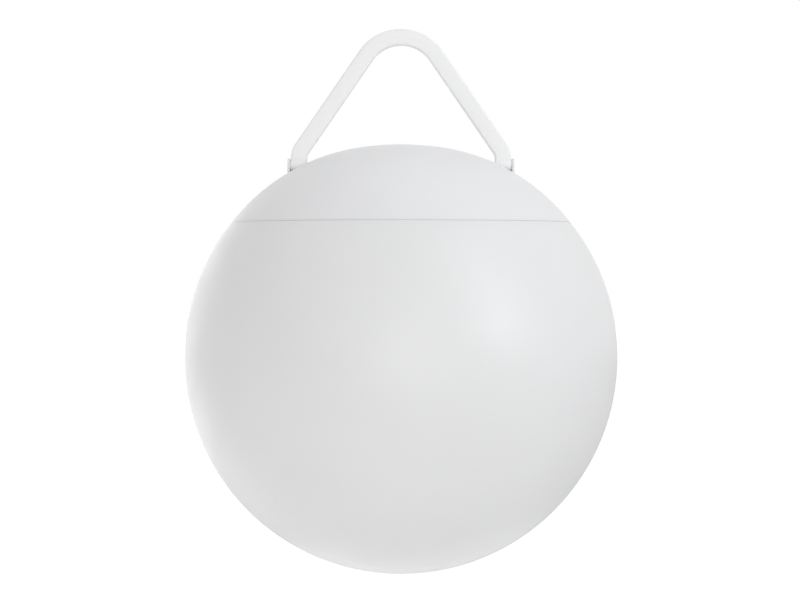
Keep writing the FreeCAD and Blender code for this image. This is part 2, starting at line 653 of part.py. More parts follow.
def battery_door():
    """Door of the battery bay: plate, hinge barrel with two stub pins, and a nail notch."""
    plate = door_outline(0, LID_Z, LID_Z + DOOR_THICKNESS)
    barrel = hinge_rod(HINGE_RADIUS, 0)
    pins = hinge_rod(HINGE_PIN, HINGE_PIN_LENGTH)
    notch_x = -BAY_HALF_LENGTH - DOOR_LAP - NAIL_NOTCH / 2
    notch = post(NAIL_NOTCH, LID_Z - PAST, LID_TOP, notch_x, CELL_Y)
    return join([plate, barrel, pins]).cut(notch)


def screws_up(sizes, places, seat, tip):
    """Screws driven upwards: each head lies under its seat and has a chamfered lower edge."""
    shank, head, height = sizes
    screw = turned_solid([(0, seat - height), (head - HEAD_CHAMFER, seat - height),
                          (head, seat - height + HEAD_CHAMFER), (head, seat), (shank, seat),
                          (shank, tip), (0, tip)])
    return [screw.translated(V(x, y, 0)) for x, y in places]


def module_screws():
    places = [polar(TAB_CIRCLE, angle) for angle in TAB_ANGLES]
    tip = TAB_Z + PILOT_DEPTH - SCREW_END_GAP
    return screws_up(HOUSING_SCREW, places, TAB_Z - TAB_THICKNESS, tip)


def lid_screws():
    places = [polar(LID_SCREW_CIRCLE, angle) for angle in LID_SCREW_ANGLES]
    return screws_up(LID_SCREW, places, LID_Z, LID_TOP + PILOT_DEPTH - SCREW_END_GAP)


def board_screws():
    """Two screws driven downwards through the board into the lid's posts."""
    shank, head, height = BOARD_SCREW
    screws = []
    for x, y in POST_PLACES:
        body = post(shank, BOARD_Z - BOARD_PILOT_DEPTH + SCREW_END_GAP, BOARD_TOP, x, y)
        screws.append(body.fuse(post(head, BOARD_TOP, BOARD_TOP + height, x, y)))
    return screws


def panel_layer(side, start, thickness):
    half = side / 2
    return box(-half, half, -half, half, HOUSING_TOP + start, HOUSING_TOP + start + thickness)


def solar_pad():
    pad = panel_layer(PANEL_SIDE - 2 * PAD_INSET, 0, PAD_THICKNESS)
    pad_top = HOUSING_TOP + PAD_THICKNESS
    return pad.cut(post(LEAD_HOLE_RADIUS, HOUSING_TOP - PAST, pad_top + PAST, 0, SOLAR_LEAD_Y))


def solar_board():
    return panel_layer(PANEL_SIDE, PAD_THICKNESS, PANEL_BOARD)


def solar_cells():
    """Equal strips side by side on the panel's board."""
    z0 = HOUSING_TOP + PAD_THICKNESS + PANEL_BOARD
    half = PANEL_SIDE / 2 - STRIP_MARGIN
    width = (2 * half - (STRIP_COUNT - 1) * STRIP_GAP) / STRIP_COUNT
    strips = []
    for i in range(STRIP_COUNT):
        y0 = -half + i * (width + STRIP_GAP)
        strips.append(box(-half, half, y0, y0 + width, z0, z0 + CELL_STRIP))
    return strips


def solar_resin():
    """Clear layer that the cells are cast into."""
    layer = panel_layer(PANEL_SIDE, PAD_THICKNESS + PANEL_BOARD, CELL_STRIP + RESIN_THICKNESS)
    return layer.cut(Part.makeCompound(solar_cells()))


def circuit_board():
    """Round board with one straight side along the battery bay."""
    disc = post(BOARD_RADIUS, BOARD_Z, BOARD_TOP)
    front = BAY_BACK + BAY_WALL + BOARD_EDGE_GAP
    board = disc.common(box(-BOARD_RADIUS, BOARD_RADIUS, front, BOARD_RADIUS, BOARD_Z, BOARD_TOP))
    for x, y in POST_PLACES:
        board = board.cut(post(BOARD_SCREW[0] + HOLE_GAP, BOARD_Z - PAST, BOARD_TOP + PAST, x, y))
    return board


def control_chip():
    x, y = CHIP_PLACE
    length, width, height = CHIP_SIZE
    return box(x - length / 2, x + length / 2, y - width / 2, y + width / 2, BOARD_TOP, BOARD_TOP + height)


def charge_coil():
    """Drum coil with a narrower waist."""
    x, y = COIL_PLACE
    top = BOARD_TOP + COIL_HEIGHT
    waist_foot = BOARD_TOP + COIL_FLANGE
    waist_top = top - COIL_FLANGE
    drum = turned_solid([(0, BOARD_TOP), (COIL_RADIUS, BOARD_TOP), (COIL_RADIUS, waist_foot),
                         (COIL_WAIST_RADIUS, waist_foot), (COIL_WAIST_RADIUS, waist_top),
                         (COIL_RADIUS, waist_top), (COIL_RADIUS, top), (0, top)])
    return drum.translated(V(x, y, 0))


def buffer_capacitor():
    return post(CAPACITOR_RADIUS, BOARD_TOP, BOARD_TOP + CAPACITOR_HEIGHT, *CAPACITOR_PLACE)


def leds():
    length, width, height = LED_SIZE
    lamps = []
    for i in range(LED_COUNT):
        x, y = polar(LED_CIRCLE, FIRST_LED_ANGLE + i * 360.0 / LED_COUNT)
        lamps.append(box(x - length / 2, x + length / 2, y - width / 2, y + width / 2,
                         BOARD_Z - height, BOARD_Z))
    return lamps


def led_lens():
    """Frosted cup that hangs through the lid, with a chamfered foot, and rests on it by a flange."""
    foot = LID_Z - LENS_DROP
    top = LID_TOP + LENS_WALL
    flange = LENS_RADIUS + LENS_FLANGE
    inner = LENS_RADIUS - LENS_WALL
    floor = foot + LENS_WALL
    inner_chamfer = LENS_CHAMFER - LENS_WALL * (2 - math.sqrt(2))
    return turned_solid([(0, foot), (LENS_RADIUS - LENS_CHAMFER, foot), (LENS_RADIUS, foot + LENS_CHAMFER),
                         (LENS_RADIUS, LID_TOP), (flange, LID_TOP), (flange, top), (inner, top),
                         (inner, floor + inner_chamfer), (inner - inner_chamfer, floor), (0, floor)])


def battery_cell():
    """AA cell lying along X, its nub towards +X."""
    start = -BAY_HALF_LENGTH + SPRING_DEPTH
    can = rod(CELL_RADIUS, start, start + CELL_LENGTH, CELL_Y, CELL_Z)
    can = can.makeChamfer(CELL_EDGE, [edge for edge in can.Edges if edge.BoundBox.XLength < TINY])
    nub = rod(CELL_NUB_RADIUS, start + CELL_LENGTH, start + CELL_LENGTH + CELL_NUB, CELL_Y, CELL_Z)
    return can.fuse(nub)


def contact_plate(x0, x1):
    """Flat contact against an end wall of the bay, with a tail through its roof."""
    half = LEAF_WIDTH / 2
    plate = box(x0, x1, CELL_Y - half, CELL_Y + half, CELL_Z - half, BAY_ROOF)
    tail = box(x0, x1, CELL_Y - TAIL_WIDTH / 2, CELL_Y + TAIL_WIDTH / 2, BAY_ROOF, TAIL_TOP)
    return plate.fuse(tail)


def plus_contact():
    return contact_plate(BAY_HALF_LENGTH - CONTACT_THICKNESS, BAY_HALF_LENGTH)


def minus_contact():
    """Leaf spring: a plate whose lower end curls up as a bowed leaf that presses on the cell."""
    x0 = -BAY_HALF_LENGTH
    plate = contact_plate(x0, x0 + LEAF_THICKNESS)
    rise = SPRING_DEPTH - LEAF_THICKNESS
    half = LEAF_WIDTH / 2
    radius = (half ** 2 + rise ** 2) / (2 * rise)
    angle = math.degrees(math.asin(half / radius))
    centre = V(x0 + SPRING_DEPTH - radius, 0, CELL_Z)
    outer = arc(centre, radius, -angle, angle)
    inner = arc(centre, radius - LEAF_THICKNESS, -angle, angle)
    closing = [line(ends(outer)[1], ends(inner)[1]), line(ends(inner)[0], ends(outer)[0])]
    face = Part.Face(Part.Wire(Part.__sortEdges__([outer, inner] + closing)))
    face.translate(V(0, CELL_Y - half, 0))
    leaf = face.extrude(V(0, LEAF_WIDTH, 0))
    foot = box(x0, x0 + 2 * LEAF_THICKNESS, CELL_Y - half, CELL_Y + half,
               CELL_Z - half - LEAF_THICKNESS, CELL_Z - half + LEAF_THICKNESS)
    return join([plate, leaf, foot])


def switch_body():
    """Slide switch under the board, hollow where its knob travels."""
    length, width = SWITCH_BODY
    x = length / 2
    y = width / 2
    body = box(-x, x, SWITCH_Y - y, SWITCH_Y + y, LID_TOP + SWITCH_LID_GAP, BOARD_Z)
    slot = KNOB_SIDE / 2 + SWITCH_TRAVEL / 2 + KNOB_GAP
    knob = KNOB_SIDE / 2 + KNOB_GAP
    return body.cut(box(-slot, slot, SWITCH_Y - knob, SWITCH_Y + knob, LID_TOP, BOARD_Z - SWITCH_WALL))


def switch_knob():
    """Knob at its off end, with grooves for the fingertip."""
    half = KNOB_SIDE / 2
    x = -SWITCH_TRAVEL / 2
    foot = LID_Z - KNOB_DROP
    top = BOARD_Z - SWITCH_WALL - KNOB_TOP_GAP
    knob = box(x - half, x + half, SWITCH_Y - half, SWITCH_Y + half, foot, top)
    for i in range(KNOB_GROOVES):
        x0 = x - half + (i + 0.5) * KNOB_SIDE / KNOB_GROOVES - GROOVE_WIDTH / 2
        knob = knob.cut(box(x0, x0 + GROOVE_WIDTH, SWITCH_Y - half - PAST, SWITCH_Y + half + PAST,
                            foot - PAST, foot + GROOVE_WIDTH))
    return knob


def lead(points):
    """Wire along straight runs that meet in mitres."""
    section = Part.Wire(Part.makeCircle(LEAD_RADIUS, points[0], points[1] - points[0]))
    return Part.makePolygon(points).makePipeShell([section], True, False, MITRE)


def solar_leads():
    """Two wires from the underside of the panel, down through the roof, to the board."""
    wires = []
    top = HOUSING_TOP + PAD_THICKNESS
    drop = (top - BOARD_TOP) / 3
    landing = SOLAR_LEAD_Y + SOLAR_LEAD_STEP
    for x in (-LEAD_SPACING / 2, LEAD_SPACING / 2):
        wires.append(lead([V(x, SOLAR_LEAD_Y, top), V(x, SOLAR_LEAD_Y, top - drop),
                           V(x, landing, top - 2 * drop), V(x, landing, BOARD_TOP)]))
    return wires


def battery_leads():
    """One wire from the tip of each contact's tail to the board."""
    wires = []
    high = BAY_ROOF + BAY_WALL + BATTERY_LEAD_RISE
    landing = BAY_BACK + BAY_WALL + BOARD_EDGE_GAP + BATTERY_LEAD_LANDING
    for side in (-1, 1):
        x = side * (BAY_HALF_LENGTH - CONTACT_THICKNESS / 2)
        inner_x = x - side * BATTERY_LEAD_STEP
        wires.append(lead([V(x, CELL_Y, TAIL_TOP), V(x, CELL_Y, high), V(inner_x, landing, high),
                           V(inner_x, landing, BOARD_TOP)]))
    return wires


PIECES = [globe_shell, top_cover, pivot_pins, cover_seal, carry_handle, module_housing, module_lid,
          module_seal, module_screws, lid_screws, board_screws, solar_pad, solar_board, solar_cells,
          solar_resin, circuit_board, control_chip, charge_coil, buffer_capacitor, leds, led_lens,
          battery_cell, plus_contact, minus_contact, battery_door, switch_body, switch_knob,
          solar_leads, battery_leads]


def main():
    os.makedirs("parts", exist_ok=True)
    for piece in PIECES:
        made = piece()
        shape = Part.makeCompound(made) if isinstance(made, list) else made
        shape.translate(V(0, 0, -HANG_Z))
        shape.exportStep("parts/" + piece.__name__ + ".step")
        print(piece.__name__, "solids", len(shape.Solids), "volume", round(shape.Volume, 1),
              "valid", shape.isValid())
    print("pivot height", round(PIVOT_Z - HANG_Z, 3), "globe centre", round(-HANG_Z, 3))
    print("hinge line x", round(HINGE_X, 3), "z", round(HINGE_Z - HANG_Z, 3))
    print("lid underside", round(LID_Z - HANG_Z, 3), "skirt foot", round(SKIRT_FOOT - HANG_Z, 3))


main()
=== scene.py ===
# %% [markdown]
# # A hanging opal globe light
#
# The light is a white plastic globe with a twist-off cover, hung from a bent strap handle. The
# engineering model gives every piece its size and place. This script gives them their looks.
# It first loads that model.

# %% Load the engineering model
import bpy
import bmesh
import json
import math
from mathutils import Matrix, Vector


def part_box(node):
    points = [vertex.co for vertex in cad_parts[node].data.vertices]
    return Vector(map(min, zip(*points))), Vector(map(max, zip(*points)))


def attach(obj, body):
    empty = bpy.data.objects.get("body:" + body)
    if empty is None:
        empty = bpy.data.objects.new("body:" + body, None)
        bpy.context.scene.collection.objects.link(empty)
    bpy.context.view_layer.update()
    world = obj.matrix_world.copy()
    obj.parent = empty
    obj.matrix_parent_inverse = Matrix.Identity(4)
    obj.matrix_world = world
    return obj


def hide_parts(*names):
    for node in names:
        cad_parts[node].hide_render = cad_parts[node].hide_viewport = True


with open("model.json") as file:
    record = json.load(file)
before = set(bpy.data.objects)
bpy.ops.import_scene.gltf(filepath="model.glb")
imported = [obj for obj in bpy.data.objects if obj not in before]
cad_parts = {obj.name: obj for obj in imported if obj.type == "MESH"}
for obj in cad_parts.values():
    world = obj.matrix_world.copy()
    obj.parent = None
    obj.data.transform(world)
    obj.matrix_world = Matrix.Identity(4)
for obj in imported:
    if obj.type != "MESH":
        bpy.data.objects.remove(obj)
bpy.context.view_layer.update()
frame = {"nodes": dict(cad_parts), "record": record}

MM = 0.001
record = frame["record"]
print("nodes:", len(frame["nodes"]))

# %% [markdown]
# ## Where the main pieces lie
#
# The origin is the place under the handle's bend where a hook holds the light. Every height below
# is read from the model's own boxes and joints, so that a changed model still fits. The globe's
# centre lies on the twist joint, and the handle's pins lie on the swing joint.

# %% Read the sizes from the model
joints = {joint["name"]: joint for joint in record["behaviour"]["joints"]}
globe_low, globe_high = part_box("globe_shell")
handle_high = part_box("carry_handle")[1]
centre_z = joints["globe_twist"]["pos_m"][2]
pivot_z = joints["handle_swing"]["pos_m"][2]
globe_radius = centre_z - globe_low[2]
ledge_z = globe_high[2]
print("globe radius mm:", round(globe_radius / MM, 2), "ledge z mm:", round(ledge_z / MM, 2))

# %% [markdown]
# ## Colours and nodes
#
# Colours are written as the sRGB values one would pick on a screen. The shader works in linear
# light, so one function turns them. A second one adds a node with its settings and its links, which
# keeps each material short enough to read as a recipe. An input is given by its name, or by its
# number where names repeat: on a Mix node 0 is the factor, 6 and 7 are the two colours, and output
# 2 is the mixed colour. A third function links what a recipe made to the shader.

# %% Colour
def linear(hex_colour):
    """sRGB hex to the linear RGBA that the shader needs."""
    channels = [int(hex_colour[i:i + 2], 16) / 255 for i in (0, 2, 4)]
    turned = [c / 12.92 if c <= 0.04045 else ((c + 0.055) / 1.055) ** 2.4 for c in channels]
    return (*turned, 1.0)


print("white FFFFFF is", linear("FFFFFF"))

# %% Nodes and materials
def add(tree, kind, settings=None, **inputs):
    """Add a node. Settings are its own properties. An input is a value or a socket to link."""
    node = tree.nodes.new(kind)
    for name, value in (settings or {}).items():
        setattr(node, name, value)
    for name, value in inputs.items():
        socket = node.inputs[int(name[1:]) if name[0] == "_" else name.replace("_", " ")]
        if isinstance(value, bpy.types.NodeSocket):
            tree.links.new(value, socket)
        else:
            socket.default_value = value
    return node


def new_material(name, **shader_inputs):
    """A material with one Principled shader. Returns the material, its tree and the shader."""
    material = bpy.data.materials.new(name)
    material.use_nodes = True
    tree = material.node_tree
    tree.nodes.clear()
    shader = add(tree, "ShaderNodeBsdfPrincipled", **shader_inputs)
    add(tree, "ShaderNodeOutputMaterial", Surface=shader.outputs["BSDF"])
    return material, tree, shader


def link(tree, shader, **sockets):
    """Link sockets to the shader's inputs of those names."""
    for name, socket in sockets.items():
        tree.links.new(socket, shader.inputs[name.replace("_", " ")])


print("helpers: add, new_material, link")

# %% [markdown]
# ## Scale of a pattern
#
# Textures are scaled from real sizes. A noise texture with a scale of one has features about a
# metre across, so the scale is one over the size that is wanted. A wave texture with a scale of one
# draws 20 / 2 pi bands in a metre, so its scale is 2 pi / 20 times that. Noise seldom leaves the
# middle of its range, and the two limits given here spread that middle over a whole range.

# %% Scale of a pattern
NOISE_LOW = 0.3
NOISE_HIGH = 0.7


def per_mm(size_mm):
    """Texture scale at which one feature is about size_mm across."""
    return 1.0 / (size_mm * MM)


def bands_per_mm(pitch_mm):
    """Wave texture scale at which the bands lie pitch_mm apart."""
    return per_mm(pitch_mm) * 2 * math.pi / 20


print("scale for 1 mm:", per_mm(1), "bands 1 mm apart:", round(bands_per_mm(1), 1))

# %% [markdown]
# ## Opal polyethylene
#
# The globe is blown and the cover is moulded from opal polyethylene: plastic filled with a little
# white pigment, so that light enters it, spreads some millimetres and leaves again. That softens
# every shadow on it, and subsurface scattering does the same in the shader. Blown plastic cools
# against the mould with a satin skin and a very shallow orange peel. The recipe is a pale colour
# that drifts a little over a hand's width, a middle roughness, and two weak bumps: the peel, and
# pores that are drawn about a millimetre across, because the real ones are too fine to show.

# %% Opal polyethylene of the globe and of the cover
SCATTER_MM = 4
DRIFT_MM = 70
HANDLING_MM = 22
PORE_MM = 1.0
PORE_DEPTH_MM = 0.006


def opal_polyethylene(name, low_hex, high_hex, peel_mm, peel_depth_mm, roughness):
    material, tree, shader = new_material(name, IOR=1.51, Subsurface_Weight=0.25,
                                          Subsurface_Scale=SCATTER_MM * MM,
                                          Subsurface_Radius=(1.0, 0.97, 0.92))
    spot = add(tree, "ShaderNodeTexCoord").outputs["Object"]
    drift = add(tree, "ShaderNodeTexNoise", Vector=spot, Scale=per_mm(DRIFT_MM), Detail=2.0)
    colour = add(tree, "ShaderNodeMix", {"data_type": "RGBA"}, _0=drift.outputs["Fac"],
                 _6=linear(low_hex), _7=linear(high_hex))
    handling = add(tree, "ShaderNodeTexNoise", Vector=spot, Scale=per_mm(HANDLING_MM), Detail=4.0)
    satin = add(tree, "ShaderNodeMapRange", Value=handling.outputs["Fac"], From_Min=NOISE_LOW,
                From_Max=NOISE_HIGH, To_Min=roughness - 0.03, To_Max=roughness + 0.04)
    peel = add(tree, "ShaderNodeTexNoise", Vector=spot, Scale=per_mm(peel_mm), Detail=1.0)
    pores = add(tree, "ShaderNodeTexNoise", Vector=spot, Scale=per_mm(PORE_MM), Detail=2.0)
    waves = add(tree, "ShaderNodeBump", Height=peel.outputs["Fac"], Distance=peel_depth_mm * MM,
                Strength=0.6)
    skin = add(tree, "ShaderNodeBump", Height=pores.outputs["Fac"],
               Distance=PORE_DEPTH_MM * MM, Strength=0.5, Normal=waves.outputs["Normal"])
    link(tree, shader, Base_Color=colour.outputs[2], Roughness=satin.outputs["Result"],
         Normal=skin.outputs["Normal"])
    return material


blown_opal = opal_polyethylene("opal_polyethylene_blown", "E6E6E6", "EAEAEA", 6.0, 0.02, 0.40)
moulded_opal = opal_polyethylene("opal_polyethylene_moulded", "E8E8E9", "EBEBEC", 3.0, 0.01, 0.42)
print("opal:", blown_opal.name, moulded_opal.name)

# %% [markdown]
# ## Moulded plastics and rubbers
#
# The handle, the electrics housing, the seals, the switch and the chip's case are all moulded in
# one colour. What tells them apart is how white or dark they are, how glossy the mould left them,
# and the size of the mould's grain. So one recipe serves them all: a colour that drifts slightly
# where the melt flowed, a roughness that drifts with it, and a grain. A spark-eroded mould gives a
# matt grain of about a third of a millimetre, drawn here at half a millimetre so that it shows.

# %% Moulded plastics and rubbers
FLOW_MM = 18


def moulded(name, low_hex, high_hex, roughness, grain_mm, grain_depth_mm, **shader_inputs):
    material, tree, shader = new_material(name, **shader_inputs)
    spot = add(tree, "ShaderNodeTexCoord").outputs["Object"]
    flow = add(tree, "ShaderNodeTexNoise", Vector=spot, Scale=per_mm(FLOW_MM), Detail=3.0)
    colour = add(tree, "ShaderNodeMix", {"data_type": "RGBA"}, _0=flow.outputs["Fac"],
                 _6=linear(low_hex), _7=linear(high_hex))
    gloss = add(tree, "ShaderNodeMapRange", Value=flow.outputs["Fac"], From_Min=NOISE_LOW,
                From_Max=NOISE_HIGH, To_Min=roughness - 0.04, To_Max=roughness + 0.05)
    grain = add(tree, "ShaderNodeTexNoise", Vector=spot, Scale=per_mm(grain_mm), Detail=2.0)
    skin = add(tree, "ShaderNodeBump", Height=grain.outputs["Fac"], Distance=grain_depth_mm * MM,
               Strength=0.7)
    link(tree, shader, Base_Color=colour.outputs[2], Roughness=gloss.outputs["Result"],
         Normal=skin.outputs["Normal"])
    return material


handle_white = moulded("polypropylene_white", "F1F1F1", "F5F5F5", 0.42, 0.5, 0.006, IOR=1.49)
housing_white = moulded("abs_white_spark_eroded", "E4E4E1", "E9E9E7", 0.50, 0.5, 0.012, IOR=1.53)
silicone_white = moulded("silicone_rubber_white", "E2E2E0", "E9E9E8", 0.55, 0.8, 0.006, IOR=1.41)
nylon_black = moulded("nylon_black_moulded", "141414", "1C1C1C", 0.48, 0.5, 0.010, IOR=1.53)
epoxy_black = moulded("epoxy_black_chip_case", "101011", "171718", 0.60, 0.4, 0.008, IOR=1.55)
print("moulded:", handle_white.name, housing_white.name, silicone_white.name)

# %% [markdown]
# ## Metals
#
# The pins, screws, contacts and the capacitor's can are metal. A metal has no colour of its own
# under the skin, so the shader is fully metallic and the colour tints its reflection. Turned and
# drawn metal carries fine parallel marks. They are a noise that is stretched along the direction
# of the marks: small in one direction and long in the other two.

# %% Drawn, turned and plated metals
MARK_DEPTH_MM = 0.004


def marked_metal(name, low_hex, high_hex, roughness, mark_mm, stretch):
    """Metal with marks mark_mm wide. stretch is how much longer the marks are along each axis."""
    material, tree, shader = new_material(name, Metallic=1.0)
    spot = add(tree, "ShaderNodeTexCoord").outputs["Object"]
    squeezed = add(tree, "ShaderNodeMapping", Vector=spot, Scale=[1.0 / s for s in stretch])
    marks = add(tree, "ShaderNodeTexNoise", Vector=squeezed.outputs["Vector"],
                Scale=per_mm(mark_mm), Detail=3.0)
    colour = add(tree, "ShaderNodeMix", {"data_type": "RGBA"}, _0=marks.outputs["Fac"],
                 _6=linear(low_hex), _7=linear(high_hex))
    polish = add(tree, "ShaderNodeMapRange", Value=marks.outputs["Fac"], From_Min=NOISE_LOW,
                 From_Max=NOISE_HIGH, To_Min=roughness - 0.06, To_Max=roughness + 0.08)
    skin = add(tree, "ShaderNodeBump", Height=marks.outputs["Fac"],
               Distance=MARK_DEPTH_MM * MM, Strength=0.6)
    link(tree, shader, Base_Color=colour.outputs[2], Roughness=polish.outputs["Result"],
         Normal=skin.outputs["Normal"])
    return material


pin_steel = marked_metal("stainless_steel_turned", "B9B9B7", "CFCFCD", 0.30, 0.3, (1, 12, 12))
screw_zinc = marked_metal("steel_zinc_plated", "BDBFC2", "D2D3D3", 0.34, 0.4, (10, 10, 1))
contact_nickel = marked_metal("spring_steel_nickel_plated", "C8C4BA", "D9D5CB", 0.26, 0.3,
                              (1, 1, 15))
can_metal = marked_metal("aluminium_drawn_can", "C4C6C8", "DADBDC", 0.28, 0.3, (12, 12, 1))
print("metals:", pin_steel.name, screw_zinc.name, contact_nickel.name, can_metal.name)

# %% [markdown]
# ## Foam tape
#
# The solar panel sits on black foam tape. Foam is a crowd of cells, and its cut face shows them as
# small pits. A Voronoi texture draws exactly that: the distance to the nearest of many scattered
# points. Used as the height of a bump, each point becomes a pit.

# %% Black foam tape
FOAM_CELL_MM = 0.7
FOAM_PIT_MM = 0.15


def closed_cell_foam():
    material, tree, shader = new_material("foam_tape_black", IOR=1.45)
    spot = add(tree, "ShaderNodeTexCoord").outputs["Object"]
    cells = add(tree, "ShaderNodeTexVoronoi", Vector=spot, Scale=per_mm(FOAM_CELL_MM))
    # The colour is darker towards each cell's point, at the bottom of its pit: that dark is painted
    # shade.
    colour = add(tree, "ShaderNodeMix", {"data_type": "RGBA"}, _0=cells.outputs["Distance"],
                 _6=linear("1A1A1A"), _7=linear("2E2E2E"))
    dull = add(tree, "ShaderNodeMapRange", Value=cells.outputs["Distance"], To_Min=0.95,
               To_Max=0.8)
    pits = add(tree, "ShaderNodeBump", Height=cells.outputs["Distance"],
               Distance=FOAM_PIT_MM * MM)
    link(tree, shader, Base_Color=colour.outputs[2], Roughness=dull.outputs["Result"],
         Normal=pits.outputs["Normal"])
    return material


foam_black = closed_cell_foam()
print("foam:", foam_black.name)

# %% [markdown]
# ## Glass laminate boards
#
# Both circuit boards are woven glass in resin, under a coloured solder mask. The weave shows as
# a faint square relief. A bundle of glass is about half a millimetre wide, drawn here at one so
# that it shows. Two wave textures, one along X and one along Y, make the two directions of the
# weave, and their product is the relief.

# %% Woven laminate under a solder mask
BUNDLE_MM = 1.0
WEAVE_DEPTH_MM = 0.01


def laminate(name, low_hex, high_hex):
    material, tree, shader = new_material(name, IOR=1.52, Coat_Weight=0.3)
    spot = add(tree, "ShaderNodeTexCoord").outputs["Object"]
    warp = add(tree, "ShaderNodeTexWave", {"bands_direction": "X"}, Vector=spot,
               Scale=bands_per_mm(BUNDLE_MM))
    weft = add(tree, "ShaderNodeTexWave", {"bands_direction": "Y"}, Vector=spot,
               Scale=bands_per_mm(BUNDLE_MM))
    weave = add(tree, "ShaderNodeMath", {"operation": "MULTIPLY"}, _0=warp.outputs["Fac"],
                _1=weft.outputs["Fac"])
    colour = add(tree, "ShaderNodeMix", {"data_type": "RGBA"}, _0=weave.outputs["Value"],
                 _6=linear(low_hex), _7=linear(high_hex))
    gloss = add(tree, "ShaderNodeMapRange", Value=weave.outputs["Value"], To_Min=0.32, To_Max=0.42)
    relief = add(tree, "ShaderNodeBump", Height=weave.outputs["Value"],
                 Distance=WEAVE_DEPTH_MM * MM)
    link(tree, shader, Base_Color=colour.outputs[2], Roughness=gloss.outputs["Result"],
         Normal=relief.outputs["Normal"])
    return material


mask_green = laminate("laminate_green_solder_mask", "0C4226", "12542F")
mask_dark = laminate("laminate_dark_solder_mask", "14181A", "1E2325")
print("boards:", mask_green.name, mask_dark.name)

# %% [markdown]
# ## Solar cells
#
# Each strip is polycrystalline silicon: crystals some millimetres across, each a slightly
# different blue, crossed by printed silver lines. A Voronoi texture gives every crystal its own
# random colour, and a wave texture that is cut off near its crest gives thin lines about two
# millimetres apart. The lines run along the strips.

# %% Solar silicon
CRYSTAL_MM = 5.0
FINGER_PITCH_MM = 2.0
FINGER_CUT = 0.97
FINGER_HEIGHT_MM = 0.01


def solar_silicon():
    material, tree, shader = new_material("silicon_polycrystalline", IOR=1.5, Coat_Weight=0.5)
    spot = add(tree, "ShaderNodeTexCoord").outputs["Object"]
    crystals = add(tree, "ShaderNodeTexVoronoi", Vector=spot, Scale=per_mm(CRYSTAL_MM))
    tint = add(tree, "ShaderNodeSeparateColor", Color=crystals.outputs["Color"])
    blue = add(tree, "ShaderNodeMix", {"data_type": "RGBA"}, _0=tint.outputs["Red"],
               _6=linear("10193A"), _7=linear("22305C"))
    fingers = add(tree, "ShaderNodeTexWave", {"bands_direction": "Y"}, Vector=spot,
                  Scale=bands_per_mm(FINGER_PITCH_MM))
    crest = add(tree, "ShaderNodeMath", {"operation": "GREATER_THAN"}, _0=fingers.outputs["Fac"],
                _1=FINGER_CUT)
    colour = add(tree, "ShaderNodeMix", {"data_type": "RGBA"}, _0=crest.outputs["Value"],
                 _6=blue.outputs[2], _7=linear("B8BCC0"))
    gloss = add(tree, "ShaderNodeMapRange", Value=tint.outputs["Green"], To_Min=0.22, To_Max=0.38)
    raised = add(tree, "ShaderNodeBump", Height=crest.outputs["Value"],
                 Distance=FINGER_HEIGHT_MM * MM)
    link(tree, shader, Base_Color=colour.outputs[2], Roughness=gloss.outputs["Result"],
         Normal=raised.outputs["Normal"])
    return material


solar_blue = solar_silicon()
print("cells:", solar_blue.name)

# %% [markdown]
# ## Clear resin and a frosted lens
#
# The resin over the solar cells is clear and a little wavy from casting, so it is a transmitting
# shader with a low roughness and a broad bump. The lens under the LEDs is a clear plastic too, but
# its mould was blasted, so that no LED shows as a point. The same recipe gives it a high roughness,
# a fine bump, and a little less transmission.

# %% Clear resin and frosted lens
def clear_plastic(name, low_hex, high_hex, roughness, wave_mm, wave_depth_mm, transmission, ior):
    material, tree, shader = new_material(name, IOR=ior, Transmission_Weight=transmission)
    spot = add(tree, "ShaderNodeTexCoord").outputs["Object"]
    waves = add(tree, "ShaderNodeTexNoise", Vector=spot, Scale=per_mm(wave_mm), Detail=2.0)
    colour = add(tree, "ShaderNodeMix", {"data_type": "RGBA"}, _0=waves.outputs["Fac"],
                 _6=linear(low_hex), _7=linear(high_hex))
    frost = add(tree, "ShaderNodeMapRange", Value=waves.outputs["Fac"], From_Min=NOISE_LOW,
                From_Max=NOISE_HIGH, To_Min=roughness, To_Max=roughness * 1.3)
    skin = add(tree, "ShaderNodeBump", Height=waves.outputs["Fac"], Distance=wave_depth_mm * MM,
               Strength=0.5)
    link(tree, shader, Base_Color=colour.outputs[2], Roughness=frost.outputs["Result"],
         Normal=skin.outputs["Normal"])
    return material


cast_resin = clear_plastic("epoxy_resin_clear_cast", "F4F6F4", "FCFDFC", roughness=0.08,
                           wave_mm=9.0, wave_depth_mm=0.03, transmission=1.0, ior=1.51)
frosted_lens = clear_plastic("polycarbonate_frosted", "F2F2EE", "F8F8F5", roughness=0.50,
                             wave_mm=0.8, wave_depth_mm=0.02, transmission=0.7, ior=1.58)
print("clear:", cast_resin.name, frosted_lens.name)

# %% [markdown]
# ## Pieces with two finishes: the LED
#
# Some small parts carry two finishes on one body. They could be cut into two pieces, but the real
# ones are one. The border follows from the place on the part, so a recipe measures that place with
# Object coordinates and switches colour there. The places are read from the model's boxes. An LED
# is a white case with a round window of yellow phosphor. The four LEDs lie in the four quarters of
# the board, so that folding X and Y at zero lets one circle serve all four.

# %% LED: phosphor window in a white case
LED_LENGTH = 3.5 * MM
LED_WIDTH = 2.8 * MM
WINDOW_RADIUS = 1.0 * MM
POWDER_MM = 0.3
POWDER_DEPTH_MM = 0.005


